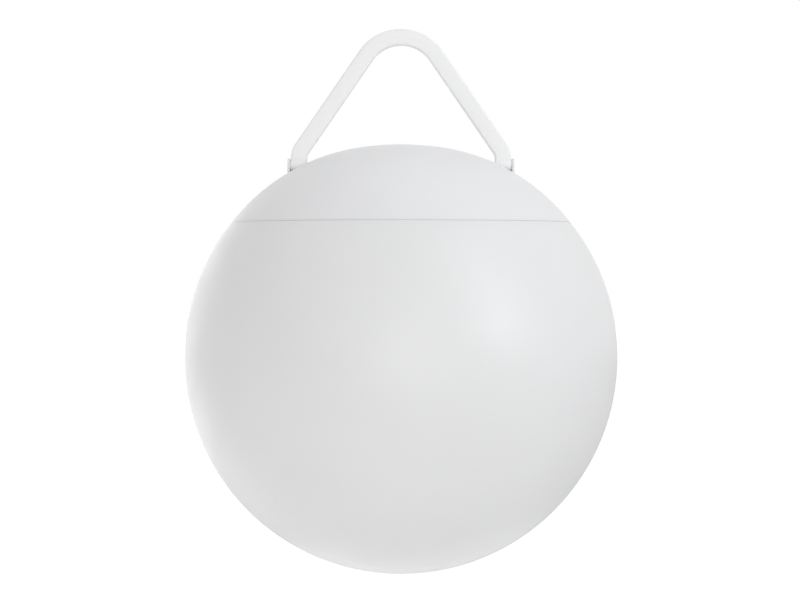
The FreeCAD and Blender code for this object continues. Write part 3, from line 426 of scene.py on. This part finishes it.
def led_package():
    material, tree, shader = new_material("led_case_with_phosphor", IOR=1.5)
    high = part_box("leds")[1]
    window = (high[0] - LED_LENGTH / 2, high[1] - LED_WIDTH / 2, 0)
    spot = add(tree, "ShaderNodeTexCoord").outputs["Object"]
    flat = add(tree, "ShaderNodeVectorMath", {"operation": "MULTIPLY"}, _0=spot, _1=(1, 1, 0))
    folded = add(tree, "ShaderNodeVectorMath", {"operation": "ABSOLUTE"},
                 _0=flat.outputs["Vector"])
    reach = add(tree, "ShaderNodeVectorMath", {"operation": "DISTANCE"},
                _0=folded.outputs["Vector"], _1=window)
    inside = add(tree, "ShaderNodeMath", {"operation": "LESS_THAN"}, _0=reach.outputs["Value"],
                 _1=WINDOW_RADIUS)
    powder = add(tree, "ShaderNodeTexNoise", Vector=spot, Scale=per_mm(POWDER_MM), Detail=3.0)
    yellow = add(tree, "ShaderNodeMix", {"data_type": "RGBA"}, _0=powder.outputs["Fac"],
                 _6=linear("E5C24A"), _7=linear("F2D667"))
    colour = add(tree, "ShaderNodeMix", {"data_type": "RGBA"}, _0=inside.outputs["Value"],
                 _6=linear("ECECEA"), _7=yellow.outputs[2])
    gloss = add(tree, "ShaderNodeMapRange", Value=inside.outputs["Value"], To_Min=0.45,
                To_Max=0.25)
    skin = add(tree, "ShaderNodeBump", Height=powder.outputs["Fac"],
               Distance=POWDER_DEPTH_MM * MM)
    link(tree, shader, Base_Color=colour.outputs[2], Roughness=gloss.outputs["Result"],
         Normal=skin.outputs["Normal"])
    return material


led_phosphor = led_package()
print("led:", led_phosphor.name)

# %% [markdown]
# ## The coil
#
# The coil is enamelled copper wire, wound in turns about a third of a millimetre apart between two
# black ferrite flanges. Modelled turns would be finer than the engineering model allows, so they
# are drawn: bands along Z with a bump of the same bands, copper on the wire and dark in the grooves
# between turns, where the dark is painted shade. Two height tests multiplied give the zone between
# the flanges.

# %% Coil: copper winding between ferrite flanges
FLANGE = 1.0 * MM
WIRE_PITCH_MM = 0.35
WIRE_DEPTH_MM = 0.1


def wound_coil():
    material, tree, shader = new_material("ferrite_with_enamelled_copper", IOR=1.5)
    low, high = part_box("charge_coil")
    spot = add(tree, "ShaderNodeTexCoord").outputs["Object"]
    height = add(tree, "ShaderNodeSeparateXYZ", Vector=spot).outputs["Z"]
    above = add(tree, "ShaderNodeMath", {"operation": "GREATER_THAN"}, _0=height,
                _1=low[2] + FLANGE)
    below = add(tree, "ShaderNodeMath", {"operation": "LESS_THAN"}, _0=height,
                _1=high[2] - FLANGE)
    wound = add(tree, "ShaderNodeMath", {"operation": "MULTIPLY"}, _0=above.outputs["Value"],
                _1=below.outputs["Value"])
    turns = add(tree, "ShaderNodeTexWave", {"bands_direction": "Z"}, Vector=spot,
                Scale=bands_per_mm(WIRE_PITCH_MM))
    # Copper on the wire, going dark in the grooves between turns: that dark is painted shade.
    copper_and_groove_shade = add(tree, "ShaderNodeMix", {"data_type": "RGBA"}, _0=turns.outputs["Fac"],
                 _6=linear("6E2F17"), _7=linear("B4602F"))
    colour = add(tree, "ShaderNodeMix", {"data_type": "RGBA"}, _0=wound.outputs["Value"],
                 _6=linear("2A2827"), _7=copper_and_groove_shade.outputs[2])
    gloss = add(tree, "ShaderNodeMapRange", Value=wound.outputs["Value"], To_Min=0.75, To_Max=0.3)
    rounds = add(tree, "ShaderNodeMath", {"operation": "MULTIPLY"}, _0=turns.outputs["Fac"],
                 _1=wound.outputs["Value"])
    skin = add(tree, "ShaderNodeBump", Height=rounds.outputs["Value"],
               Distance=WIRE_DEPTH_MM * MM)
    link(tree, shader, Base_Color=colour.outputs[2], Roughness=gloss.outputs["Result"],
         Normal=skin.outputs["Normal"])
    return material


coil_copper = wound_coil()
print("coil:", coil_copper.name)

# %% [markdown]
# ## The battery
#
# A rechargeable cell is a nickel-plated can in a printed plastic film that leaves both ends bare.
# The film is plain green here. The same test as on the coil, along X this time, gives the film's
# zone, and one minus that zone makes the ends metallic.

# %% Battery: printed film between bare metal ends
BARE_END = 1.6 * MM
INK_MM = 3.0
INK_DEPTH_MM = 0.01


def battery_jacket():
    material, tree, shader = new_material("battery_film_over_nickel_plate", IOR=1.5)
    low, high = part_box("battery_cell")
    spot = add(tree, "ShaderNodeTexCoord").outputs["Object"]
    along = add(tree, "ShaderNodeSeparateXYZ", Vector=spot).outputs["X"]
    from_start = add(tree, "ShaderNodeMath", {"operation": "GREATER_THAN"}, _0=along,
                     _1=low[0] + BARE_END)
    from_end = add(tree, "ShaderNodeMath", {"operation": "LESS_THAN"}, _0=along,
                   _1=high[0] - BARE_END)
    film = add(tree, "ShaderNodeMath", {"operation": "MULTIPLY"}, _0=from_start.outputs["Value"],
               _1=from_end.outputs["Value"])
    ink = add(tree, "ShaderNodeTexNoise", Vector=spot, Scale=per_mm(INK_MM), Detail=3.0)
    green = add(tree, "ShaderNodeMix", {"data_type": "RGBA"}, _0=ink.outputs["Fac"],
                _6=linear("4C7A55"), _7=linear("5A8A62"))
    colour = add(tree, "ShaderNodeMix", {"data_type": "RGBA"}, _0=film.outputs["Value"],
                 _6=linear("C9C7C0"), _7=green.outputs[2])
    metal = add(tree, "ShaderNodeMath", {"operation": "SUBTRACT"}, _0=1.0,
                _1=film.outputs["Value"])
    gloss = add(tree, "ShaderNodeMapRange", Value=ink.outputs["Fac"], From_Min=NOISE_LOW,
                From_Max=NOISE_HIGH, To_Min=0.26, To_Max=0.36)
    skin = add(tree, "ShaderNodeBump", Height=ink.outputs["Fac"], Distance=INK_DEPTH_MM * MM)
    link(tree, shader, Base_Color=colour.outputs[2], Metallic=metal.outputs["Value"],
         Roughness=gloss.outputs["Result"], Normal=skin.outputs["Normal"])
    return material


battery_film = battery_jacket()
print("battery:", battery_film.name)

# %% [markdown]
# ## The wires
#
# Of each pair of wires one is red and one is black. Their jackets are soft PVC, drawn on by
# extrusion, which leaves a weak ripple. The red wire of both pairs lies on the side of positive X,
# so that the sign of X picks the colour.

# %% Wires: one red, one black
RIPPLE_MM = 1.5
RIPPLE_DEPTH_MM = 0.02


def wire_jackets():
    material, tree, shader = new_material("pvc_wire_jackets", IOR=1.53)
    spot = add(tree, "ShaderNodeTexCoord").outputs["Object"]
    side = add(tree, "ShaderNodeSeparateXYZ", Vector=spot).outputs["X"]
    right = add(tree, "ShaderNodeMath", {"operation": "GREATER_THAN"}, _0=side, _1=0.0)
    colour = add(tree, "ShaderNodeMix", {"data_type": "RGBA"}, _0=right.outputs["Value"],
                 _6=linear("1B1B1C"), _7=linear("A3201B"))
    ripple = add(tree, "ShaderNodeTexNoise", Vector=spot, Scale=per_mm(RIPPLE_MM), Detail=2.0)
    gloss = add(tree, "ShaderNodeMapRange", Value=ripple.outputs["Fac"], From_Min=NOISE_LOW,
                From_Max=NOISE_HIGH, To_Min=0.34, To_Max=0.46)
    skin = add(tree, "ShaderNodeBump", Height=ripple.outputs["Fac"],
               Distance=RIPPLE_DEPTH_MM * MM)
    link(tree, shader, Base_Color=colour.outputs[2], Roughness=gloss.outputs["Result"],
         Normal=skin.outputs["Normal"])
    return material


wire_pvc = wire_jackets()
print("wires:", wire_pvc.name)

# %% [markdown]
# ## Which piece has which finish
#
# The engineering model's own pieces keep their meshes and only take a finish. Three of them are
# what the eye sees from outside. The globe and the handle are modelled afresh further down, and the
# cover gets softer edges.

# %% Finishes of the carried-over pieces
FINISHES = {
    "globe_shell": blown_opal, "top_cover": moulded_opal, "carry_handle": handle_white,
    "pivot_pins": pin_steel, "cover_seal": silicone_white, "module_seal": silicone_white,
    "module_housing": housing_white, "module_lid": housing_white, "battery_door": housing_white,
    "module_screws": screw_zinc, "lid_screws": screw_zinc, "board_screws": screw_zinc,
    "solar_pad": foam_black, "solar_board": mask_dark, "solar_cells": solar_blue,
    "solar_resin": cast_resin, "circuit_board": mask_green, "control_chip": epoxy_black,
    "charge_coil": coil_copper, "buffer_capacitor": can_metal, "leds": led_phosphor,
    "led_lens": frosted_lens, "battery_cell": battery_film, "plus_contact": contact_nickel,
    "minus_contact": contact_nickel, "switch_body": nylon_black, "switch_knob": nylon_black,
    "solar_leads": wire_pvc, "battery_leads": wire_pvc,
}
for node, obj in frame["nodes"].items():
    for material_slot in obj.material_slots:
        material_slot.material = FINISHES[node]
print("nodes without a finish:", sorted(set(frame["nodes"]) - set(FINISHES)))

# %% [markdown]
# ## Turning a mesh into a piece
#
# Every new piece ends in the same way: it is shaded smooth except at real corners, it takes a
# finish, and it rides on the body of the engineering model that it belongs to. It takes the finish
# of one plain piece of that model, which is then hidden. Its object stays at the origin, with its
# place in its mesh, so that a pattern on Object coordinates keeps its place too.

# %% Make a piece
CORNER_ANGLE = math.radians(40)


def make_piece(bm, name, node, body):
    """Make the mesh a piece that rides on a body and takes the finish of one of the model's nodes,
    which is hidden.
    """
    mesh = bpy.data.meshes.new(name)
    bm.to_mesh(mesh)
    bm.free()
    mesh.shade_smooth()
    mesh.set_sharp_from_angle(angle=CORNER_ANGLE)
    mesh.materials.append(FINISHES[node])
    piece = bpy.data.objects.new(name, mesh)
    bpy.context.collection.objects.link(piece)
    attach(piece, body)
    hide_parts(node)
    print(name, "faces:", len(mesh.polygons))


# %% [markdown]
# ## The globe
#
# A blown globe is one wall of even thickness. A ready-made sphere could be cut open at the top, but
# the cut would leave slivers, and the mouth needs its own profile. So the outline is made first and
# turned after: one vertex at the bottom is spun about the globe's centre up to the mouth, and more
# are drawn inwards from it. First comes a low bead that stands under the cover's rim and closes the
# seam to a hair, then the ledge that carries the cover. The corner at the seam is rounded, as blown
# plastic always is, and the whole outline is spun about the vertical axis.

# %% Sizes of the globe
TOUCH = 0.01 * MM
TURN_STEPS = 240
ARC_STEPS = 72
EDGE_TANGENT = 0.3 * MM
BEAD_RISE = 0.44 * MM
BEAD_WIDTH = 2.0 * MM
LEDGE_WIDTH = 14.5 * MM
NOTCH_REACH = 4.8 * MM
seam_radius = math.sqrt(globe_radius ** 2 - (ledge_z - centre_z) ** 2)
mouth_radius = seam_radius - LEDGE_WIDTH
bead_z = ledge_z + BEAD_RISE
mouth_angle = math.pi / 2 + math.asin((bead_z - centre_z) / globe_radius)
print("seam radius mm:", round(seam_radius / MM, 2), "mouth:", round(mouth_radius / MM, 2))

# %% Outline of the globe
globe = bmesh.new()
start = bmesh.ops.create_vert(globe, co=(0, 0, globe_low[2]))["vert"]
arc = bmesh.ops.spin(globe, geom=start, cent=(0, 0, centre_z), axis=(0, -1, 0), angle=mouth_angle,
                     steps=ARC_STEPS, use_duplicate=False)
corner = [item for item in arc["geom_last"] if isinstance(item, bmesh.types.BMVert)]
bead_inner = corner[0].co.x - BEAD_WIDTH
tip = corner
for radius, height in ((bead_inner, bead_z), (bead_inner, ledge_z),
                       (mouth_radius + NOTCH_REACH, ledge_z), (mouth_radius, ledge_z)):
    tip = bmesh.ops.extrude_vert_indiv(globe, verts=tip)["verts"]
    tip[0].co = (radius, 0, height)
bmesh.ops.bevel(globe, geom=corner, offset=EDGE_TANGENT, offset_type="OFFSET", affect="VERTICES",
                segments=6, profile=0.5, material=-1)
print("outline vertices:", len(globe.verts))

# %% Turn the outline round the axis
bmesh.ops.spin(globe, geom=globe.verts[:] + globe.edges[:], cent=(0, 0, 0), axis=(0, 0, 1),
               angle=2 * math.pi, steps=TURN_STEPS, use_merge=True, use_duplicate=False)
bmesh.ops.remove_doubles(globe, verts=globe.verts, dist=TOUCH)
bmesh.ops.recalc_face_normals(globe, faces=globe.faces)
print("globe faces:", len(globe.faces))

# %% [markdown]
# ## The twist lock's notches and stops
#
# The cover has three hooks. They drop through three notches in the ledge, and then a turn of 24
# degrees brings them under it, up to a stop. The notches are faces taken out of the ledge before it
# gets its wall, so that the wall closes their sides by itself. The stops are small blocks below the
# ledge: a rectangle spun through two degrees.

# %% Where hooks and notches lie, in degrees
HOOKS = 3
FIRST_HOOK = 90.0
TWIST = joints["globe_twist"]["range_deg"][1]
hook_middles = [FIRST_HOOK + i * 360.0 / HOOKS for i in range(HOOKS)]
notch_middles = [middle - TWIST for middle in hook_middles]
print("hooks:", hook_middles, "notches:", notch_middles)

# %% Choose the notches and shape a stop
NOTCH_HALF = 9.0
LEDGE_BAND = 0.1 * MM
SECTOR_STEPS = 4


def each_once(items):
    """The items in their order, each of them once. A set's order would change from run to run."""
    return list(dict.fromkeys(items))


def away(angle, middle):
    """How far two directions lie apart, in degrees."""
    return abs((angle - middle + 180) % 360 - 180)


def in_a_notch(face):
    middle = face.calc_center_median()
    if middle.xy.length > mouth_radius + NOTCH_REACH or middle.z < ledge_z - LEDGE_BAND:
        return False
    angle = math.degrees(math.atan2(middle.y, middle.x))
    return any(away(angle, notch) < NOTCH_HALF for notch in notch_middles)


def sector(bm, inner, outer, low, high, middle, sweep):
    """A block that follows the mouth: a standing rectangle spun through sweep degrees."""
    made = bmesh.ops.create_grid(bm, x_segments=1, y_segments=1, size=0.5)["verts"]
    across = Matrix.Diagonal((outer - inner, high - low, 1, 1))
    stand = Matrix.Rotation(math.pi / 2, 4, "X")
    shift = Matrix.Translation(((inner + outer) / 2, 0, (low + high) / 2))
    turn = Matrix.Rotation(math.radians(middle - sweep / 2), 4, "Z")
    bmesh.ops.transform(bm, matrix=turn @ shift @ stand @ across, verts=made)
    rectangle = each_once(face for vert in made for face in vert.link_faces)
    bmesh.ops.spin(bm, geom=rectangle, cent=(0, 0, 0), axis=(0, 0, 1), angle=math.radians(sweep),
                   steps=SECTOR_STEPS, use_duplicate=False)


notch_faces = [face for face in globe.faces if in_a_notch(face)]
print("faces in the notches:", len(notch_faces))

# %% Notches, wall and stops
GLOBE_WALL = 2.4 * MM
STOP_ANGLE = 2.0
STOP_HEIGHT = 3.4 * MM
STOP_INSET = 0.1 * MM
STOP_ROOT = 0.5 * MM
bmesh.ops.delete(globe, geom=notch_faces, context="FACES")
bmesh.ops.solidify(globe, geom=globe.faces[:], thickness=GLOBE_WALL)
ledge_under = ledge_z - GLOBE_WALL
beyond = NOTCH_HALF + STOP_ANGLE / 2
for hook, notch in zip(hook_middles, notch_middles):
    for stop in (hook + beyond, notch - beyond):
        sector(globe, mouth_radius + STOP_INSET, mouth_radius + NOTCH_REACH,
               ledge_under - STOP_HEIGHT, ledge_under + STOP_ROOT, stop, STOP_ANGLE)
make_piece(globe, "blown_globe", "globe_shell", "globe")

# %% [markdown]
# ## The handle
#
# The handle is one strap of constant section: a round crown, two straight legs, and an elbow on
# each side that turns the leg upright above its pin. A curve with a bevel would round the section
# too much. Here the four edges of the section are pushed along the path instead: spun round the
# crown, drawn straight down the leg, spun round the elbow, and drawn down to the pin. The other
# half is its mirror image, a bevel softens the long edges, and the two open feet are filled.

# %% Sizes of the strap
STRAP_DEPTH = 7.0 * MM
STRAP_SOFT_EDGE = 1.5 * MM
CROWN_INNER_RADIUS = 23.8 * MM
ELBOW_RADIUS = 12.0 * MM
LEG_AIM_RISE = 8.7 * MM
strap_width = handle_high[2]
half_span = handle_high[0] - strap_width / 2
crown_middle = CROWN_INNER_RADIUS + strap_width / 2
apex = Vector((0, 0, -CROWN_INNER_RADIUS))
aim_drop = apex.z - pivot_z - LEG_AIM_RISE
reach = math.hypot(half_span, aim_drop)
lean = math.acos(crown_middle / reach) - math.atan2(aim_drop, half_span)
outward = Vector((math.cos(lean), 0, math.sin(lean)))
elbow = Vector((half_span - ELBOW_RADIUS, 0,
                pivot_z + LEG_AIM_RISE - ELBOW_RADIUS * math.tan(lean / 2)))
leg = (elbow + outward * ELBOW_RADIUS) - (apex + outward * crown_middle)
print("strap width mm:", round(strap_width / MM, 2), "lean:", round(math.degrees(lean), 1))

# %% Two ways to push a loop of edges
def spun_loop(bm, loop, centre, angle, steps):
    """Spin a loop of edges about a centre, in the plane of the handle, and return its far end."""
    points = each_once(vert for edge in loop for vert in edge.verts)
    far = bmesh.ops.spin(bm, geom=points + loop, cent=centre, axis=(0, 1, 0), angle=angle,
                         steps=steps, use_duplicate=False)["geom_last"]
    return [item for item in far if isinstance(item, bmesh.types.BMEdge)]


def drawn_loop(bm, loop, shift):
    """Draw a loop of edges out along a straight line, and return its far end."""
    made = bmesh.ops.extrude_edge_only(bm, edges=loop)["geom"]
    bmesh.ops.translate(bm, vec=shift,
                        verts=[item for item in made if isinstance(item, bmesh.types.BMVert)])
    return [item for item in made if isinstance(item, bmesh.types.BMEdge)]


print("leg mm:", round(leg.length / MM, 1))

# %% Push the section along the path
CROWN_STEPS = 32
ELBOW_STEPS = 16
EYE_OVERLAP = 2.1 * MM
strap = bmesh.new()
bmesh.ops.create_grid(strap, x_segments=1, y_segments=1, size=0.5)
bmesh.ops.delete(strap, geom=strap.faces[:], context="FACES_ONLY")
section = (Matrix.Translation(apex + Vector((0, 0, crown_middle)))
           @ Matrix.Rotation(math.pi / 2, 4, "Y")
           @ Matrix.Diagonal((strap_width, STRAP_DEPTH, 1, 1)))
bmesh.ops.transform(strap, matrix=section, verts=strap.verts)
loop = spun_loop(strap, strap.edges[:], apex, math.pi / 2 - lean, CROWN_STEPS)
loop = drawn_loop(strap, loop, leg)
loop = spun_loop(strap, loop, elbow, lean, ELBOW_STEPS)
foot_drop = elbow.z - (pivot_z + EYE_OVERLAP)
drawn_loop(strap, loop, (0, 0, -foot_drop))
bmesh.ops.mirror(strap, geom=strap.verts[:] + strap.edges[:] + strap.faces[:], axis="X",
                 merge_dist=TOUCH)
bmesh.ops.recalc_face_normals(strap, faces=strap.faces)
print("strap faces before its edges are softened:", len(strap.faces))

# %% Soften the long edges
SQUARE = math.radians(60)
long_edges = [edge for edge in strap.edges
              if len(edge.link_faces) == 2 and edge.calc_face_angle() > SQUARE]
bmesh.ops.bevel(strap, geom=long_edges, offset=STRAP_SOFT_EDGE, offset_type="OFFSET",
                affect="EDGES", segments=5, profile=0.5, material=-1)
bmesh.ops.holes_fill(strap, edges=strap.edges[:])
print("strap faces:", len(strap.faces))

# %% [markdown]
# ## The handle's eyes
#
# Each leg ends in an eye, a short tube that turns on a pin. A ready-made cylinder would need its
# bore cut out. Here two circles are drawn out into walls, and their ends are bridged. The outer
# rims are bevelled, as the moulded ones are. The eye stands a little proud of the leg on the
# outside, so that only its face bears on the ear.

# %% Shape a tube
EYE_STEPS = 64
PIN_CLEARANCE = 0.08 * MM
eye_radius = handle_high[1]
bore_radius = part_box("pivot_pins")[1][1] + PIN_CLEARANCE


def tube(bm, outer, inner, start_x, length, height, soft_edge):
    """A tube along X with softened outer rims."""
    place = Matrix.Translation((start_x, 0, height)) @ Matrix.Rotation(math.pi / 2, 4, "Y")
    near = []
    far = []
    for radius in (outer, inner):
        circle = bmesh.ops.create_circle(bm, segments=EYE_STEPS, radius=radius, matrix=place)
        ring = each_once(edge for vert in circle["verts"] for edge in vert.link_edges)
        near.append(ring)
        far.append(drawn_loop(bm, ring, (length, 0, 0)))
    ends = []
    for rings in (near, far):
        ends += bmesh.ops.bridge_loops(bm, edges=rings[0] + rings[1])["faces"]
    walls = [face for ring in near for edge in ring for face in edge.link_faces]
    bmesh.ops.recalc_face_normals(bm, faces=each_once(walls + ends))
    bmesh.ops.bevel(bm, geom=near[0] + far[0], offset=soft_edge, offset_type="OFFSET",
                    affect="EDGES", segments=3, profile=0.5, material=-1)


print("eye radius mm:", round(eye_radius / MM, 2), "bore:", round(bore_radius / MM, 2))

# %% Add an eye to each leg
EYE_SOFT_EDGE = 0.5 * MM
BEARING_FACE = 0.35 * MM
length = strap_width + BEARING_FACE
for side in (-1, 1):
    middle = side * (half_span + BEARING_FACE / 2)
    tube(strap, eye_radius, bore_radius, middle - length / 2, length, pivot_z, EYE_SOFT_EDGE)
make_piece(strap, "strap_handle", "carry_handle", "handle")

# %% [markdown]
# ## The cover
#
# The cover's mesh has the right shape down to its hooks, ribs and screw posts, so there is nothing
# to gain from making it again. What it lacks is soft edges where one looks at it: round the rim and
# on the two ears. A copy of the mesh is merged first, because it comes as loose triangles. Then the
# flat areas are dissolved into large faces, the edges are picked by their place and their angle,
# and a bevel rounds them. The slivers that a bevel leaves between small faces are dissolved last.

# %% Copy and merge the cover
MERGE = 0.001 * MM
FLAT_ANGLE = math.radians(0.2)
cover = bmesh.new()
cover.from_mesh(frame["nodes"]["top_cover"].data)
bmesh.ops.remove_doubles(cover, verts=cover.verts, dist=MERGE)
bmesh.ops.dissolve_limit(cover, angle_limit=FLAT_ANGLE, verts=cover.verts, edges=cover.edges)
print("cover faces:", len(cover.faces), "open edges:", sum(not e.is_manifold for e in cover.edges))

# %% Choose the edges of the rim and the ears
RIM_GAP = 0.5 * MM
RIM_BAND = 1.0 * MM
EAR_SIDE_GAP = 0.5 * MM
EAR_RADIUS = 4.9 * MM
rim_z = ledge_z + RIM_GAP
ear_inner = half_span + strap_width / 2 + EAR_SIDE_GAP


def outer_corner(edge):
    """A sharp edge that stands out, as a rim does, and isn't a crease."""
    return len(edge.link_faces) == 2 and edge.calc_face_angle_signed() > SQUARE


def on_rim(vert):
    return abs(vert.co.z - rim_z) < TOUCH and vert.co.xy.length > seam_radius - RIM_BAND


def on_ear(vert):
    from_pin = Vector((vert.co.y, vert.co.z - pivot_z)).length
    return (abs(vert.co.x) > ear_inner - TOUCH and abs(vert.co.y) < EAR_RADIUS + TOUCH
            and from_pin > EAR_RADIUS - TOUCH and vert.co.z > rim_z + RIM_BAND)


print("rim z mm:", round(rim_z / MM, 2), "ear's inner face:", round(ear_inner / MM, 2))

# %% Soften the rim and the ears
RIM_SOFT_EDGE = 0.15 * MM
EAR_SOFT_EDGE = 0.4 * MM
SLIVER = 0.002 * MM
for width, chosen in ((RIM_SOFT_EDGE, on_rim), (EAR_SOFT_EDGE, on_ear)):
    edges = [edge for edge in cover.edges if outer_corner(edge) and all(map(chosen, edge.verts))]
    print("edges softened:", len(edges))
    bmesh.ops.bevel(cover, geom=edges, offset=width, offset_type="OFFSET", affect="EDGES",
                    segments=3, profile=0.5, material=-1)
bmesh.ops.dissolve_degenerate(cover, edges=cover.edges, dist=SLIVER)
make_piece(cover, "domed_cover", "top_cover", "cover")

# %% [markdown]
# ## The studio
#
# A white object on a white ground is read from its greys alone, so the lamps matter more than any
# material here. The world gives an even, soft light from all round. Where the camera, a reflection
# or a view through clear plastic looks past the object, the world is plain white instead, which
# Light Path tells apart. Nine soft boxes then model the globe: two keys from the right, of which
# the smaller one gives the highlight, a fill from the front and one from the lower left, and weak
# ones from above, behind and below, which brighten the edges. Most of them are wide, because the
# size of a lamp is what makes the edge of a shade soft. The keys are a little cooler than the
# rest, which gives the lit side its slight blue.

# %% Even light all round
ROUND_LIGHT = 0.63
world = bpy.data.worlds.new("studio")
bpy.context.scene.world = world
world.use_nodes = True
air = world.node_tree
air.nodes.clear()
ray = add(air, "ShaderNodeLightPath")
seen = add(air, "ShaderNodeMath", {"operation": "MAXIMUM"}, _0=ray.outputs["Is Camera Ray"],
           _1=ray.outputs["Is Glossy Ray"])
seen = add(air, "ShaderNodeMath", {"operation": "MAXIMUM"}, _0=seen.outputs["Value"],
           _1=ray.outputs["Is Transmission Ray"])
level = add(air, "ShaderNodeMapRange", Value=seen.outputs["Value"], To_Min=ROUND_LIGHT, To_Max=1.0)
sky = add(air, "ShaderNodeBackground", Color=(1, 1, 1, 1), Strength=level.outputs["Result"])
add(air, "ShaderNodeOutputWorld", Surface=sky.outputs["Background"])
print("round light:", ROUND_LIGHT)

# %% Soft boxes
# Each lamp: its place from the globe's centre, its width and height in metres, and its watts.
KEY_TINT = (0.95, 0.965, 1.0)
globe_middle = Vector((0, 0, centre_z))
LAMPS = {
    "key": ((1.2, -0.95, 0.45), (0.35, 0.45), 3.3),
    "key_high": ((1.0, -0.8, 1.0), (0.7, 1.0), 3.4),
    "front": ((0.1, -1.9, 0.1), (1.0, 1.0), 4.5),
    "left_low": ((-1.3, -0.7, -0.7), (1.0, 1.0), 2.3),
    "top": ((0.1, 0.3, 1.6), (1.2, 1.2), 1.8),
    "back_left": ((-1.0, 1.5, 0.0), (1.0, 1.2), 3.8),
    "back_left_low": ((-1.2, 1.0, -0.7), (1.0, 1.0), 1.8),
    "below": ((-0.2, -0.6, -1.2), (1.2, 1.2), 1.35),
    "below_back": ((0.1, 1.0, -1.2), (1.2, 1.2), 2.9),
}
for lamp_name, (offset, size, watts) in LAMPS.items():
    data = bpy.data.lights.new(lamp_name, "AREA")
    data.shape = "RECTANGLE"
    data.size, data.size_y = size
    data.energy = watts
    if lamp_name.startswith("key"):
        data.color = KEY_TINT
    lamp = bpy.data.objects.new(lamp_name, data)
    bpy.context.collection.objects.link(lamp)
    lamp.location = globe_middle + Vector(offset)
    lamp.rotation_euler = (-Vector(offset)).to_track_quat("-Z", "Y").to_euler()
    lamp.visible_camera = False
print("lamps:", len(LAMPS))

# %% [markdown]
# ## The floor
#
# The light hangs, so the floor lies well below it and takes only a faint shadow. It is a plain
# pale paint. To the camera it glows a little, so that it joins the white behind it without an edge.

# %% Floor
FLOOR_DROP = 1.2
FLOOR_SIZE = 30
FLOOR_LIFT = 0.5
ground = bmesh.new()
bmesh.ops.create_grid(ground, x_segments=1, y_segments=1, size=FLOOR_SIZE)
bmesh.ops.translate(ground, verts=ground.verts, vec=(0, 0, globe_low[2] - FLOOR_DROP))
floor_mesh = bpy.data.meshes.new("floor")
ground.to_mesh(floor_mesh)
ground.free()
floor = bpy.data.objects.new("floor", floor_mesh)
bpy.context.collection.objects.link(floor)
paint, paint_tree, paint_shader = new_material("floor_paint", Roughness=0.8,
                                               Base_Color=linear("F4F4F4"),
                                               Emission_Color=(1, 1, 1, 1))
to_camera = add(paint_tree, "ShaderNodeLightPath").outputs["Is Camera Ray"]
lift = add(paint_tree, "ShaderNodeMath", {"operation": "MULTIPLY"}, _0=to_camera, _1=FLOOR_LIFT)
paint_tree.links.new(lift.outputs["Value"], paint_shader.inputs["Emission Strength"])
floor_mesh.materials.append(paint)
print("floor z mm:", round((globe_low[2] - FLOOR_DROP) / MM))

# %% [markdown]
# ## The camera
#
# The photograph shows a little of the cover's top, and the globe 434 pixels wide in a frame of 800.
# A long lens a little over a metre away and slightly above the globe gives the same view. The focal
# length is given in pixels, as it was measured, and turned to millimetres by the frame's width. The
# camera aims a little above the globe's centre, which leaves room for the handle.

# %% Camera
PHOTO_WIDTH = 800
SENSOR_MM = 36.0
FOCAL_PX = 1721.0
CAMERA_DISTANCE = 1.2
CAMERA_RISE = 0.075
AIM_RISE = 0.0395
SIDE_SHIFT = -0.0007
camera_data = bpy.data.cameras.new("camera")
camera_data.sensor_width = SENSOR_MM
camera_data.lens = SENSOR_MM * FOCAL_PX / PHOTO_WIDTH
camera = bpy.data.objects.new("camera", camera_data)
bpy.context.collection.objects.link(camera)
bpy.context.scene.camera = camera
camera.location = (SIDE_SHIFT, -CAMERA_DISTANCE, centre_z + CAMERA_RISE)
aim = Vector((SIDE_SHIFT, 0, centre_z + AIM_RISE))
camera.rotation_euler = (aim - camera.location).to_track_quat("-Z", "Y").to_euler()
print("lens mm:", round(camera_data.lens, 1))

# %% [markdown]
# ## The end
#
# Looks must not change the real size. The last line sets the scene's view transform to Standard.

# %% View transform
bpy.context.scene.view_settings.view_transform = "Standard"
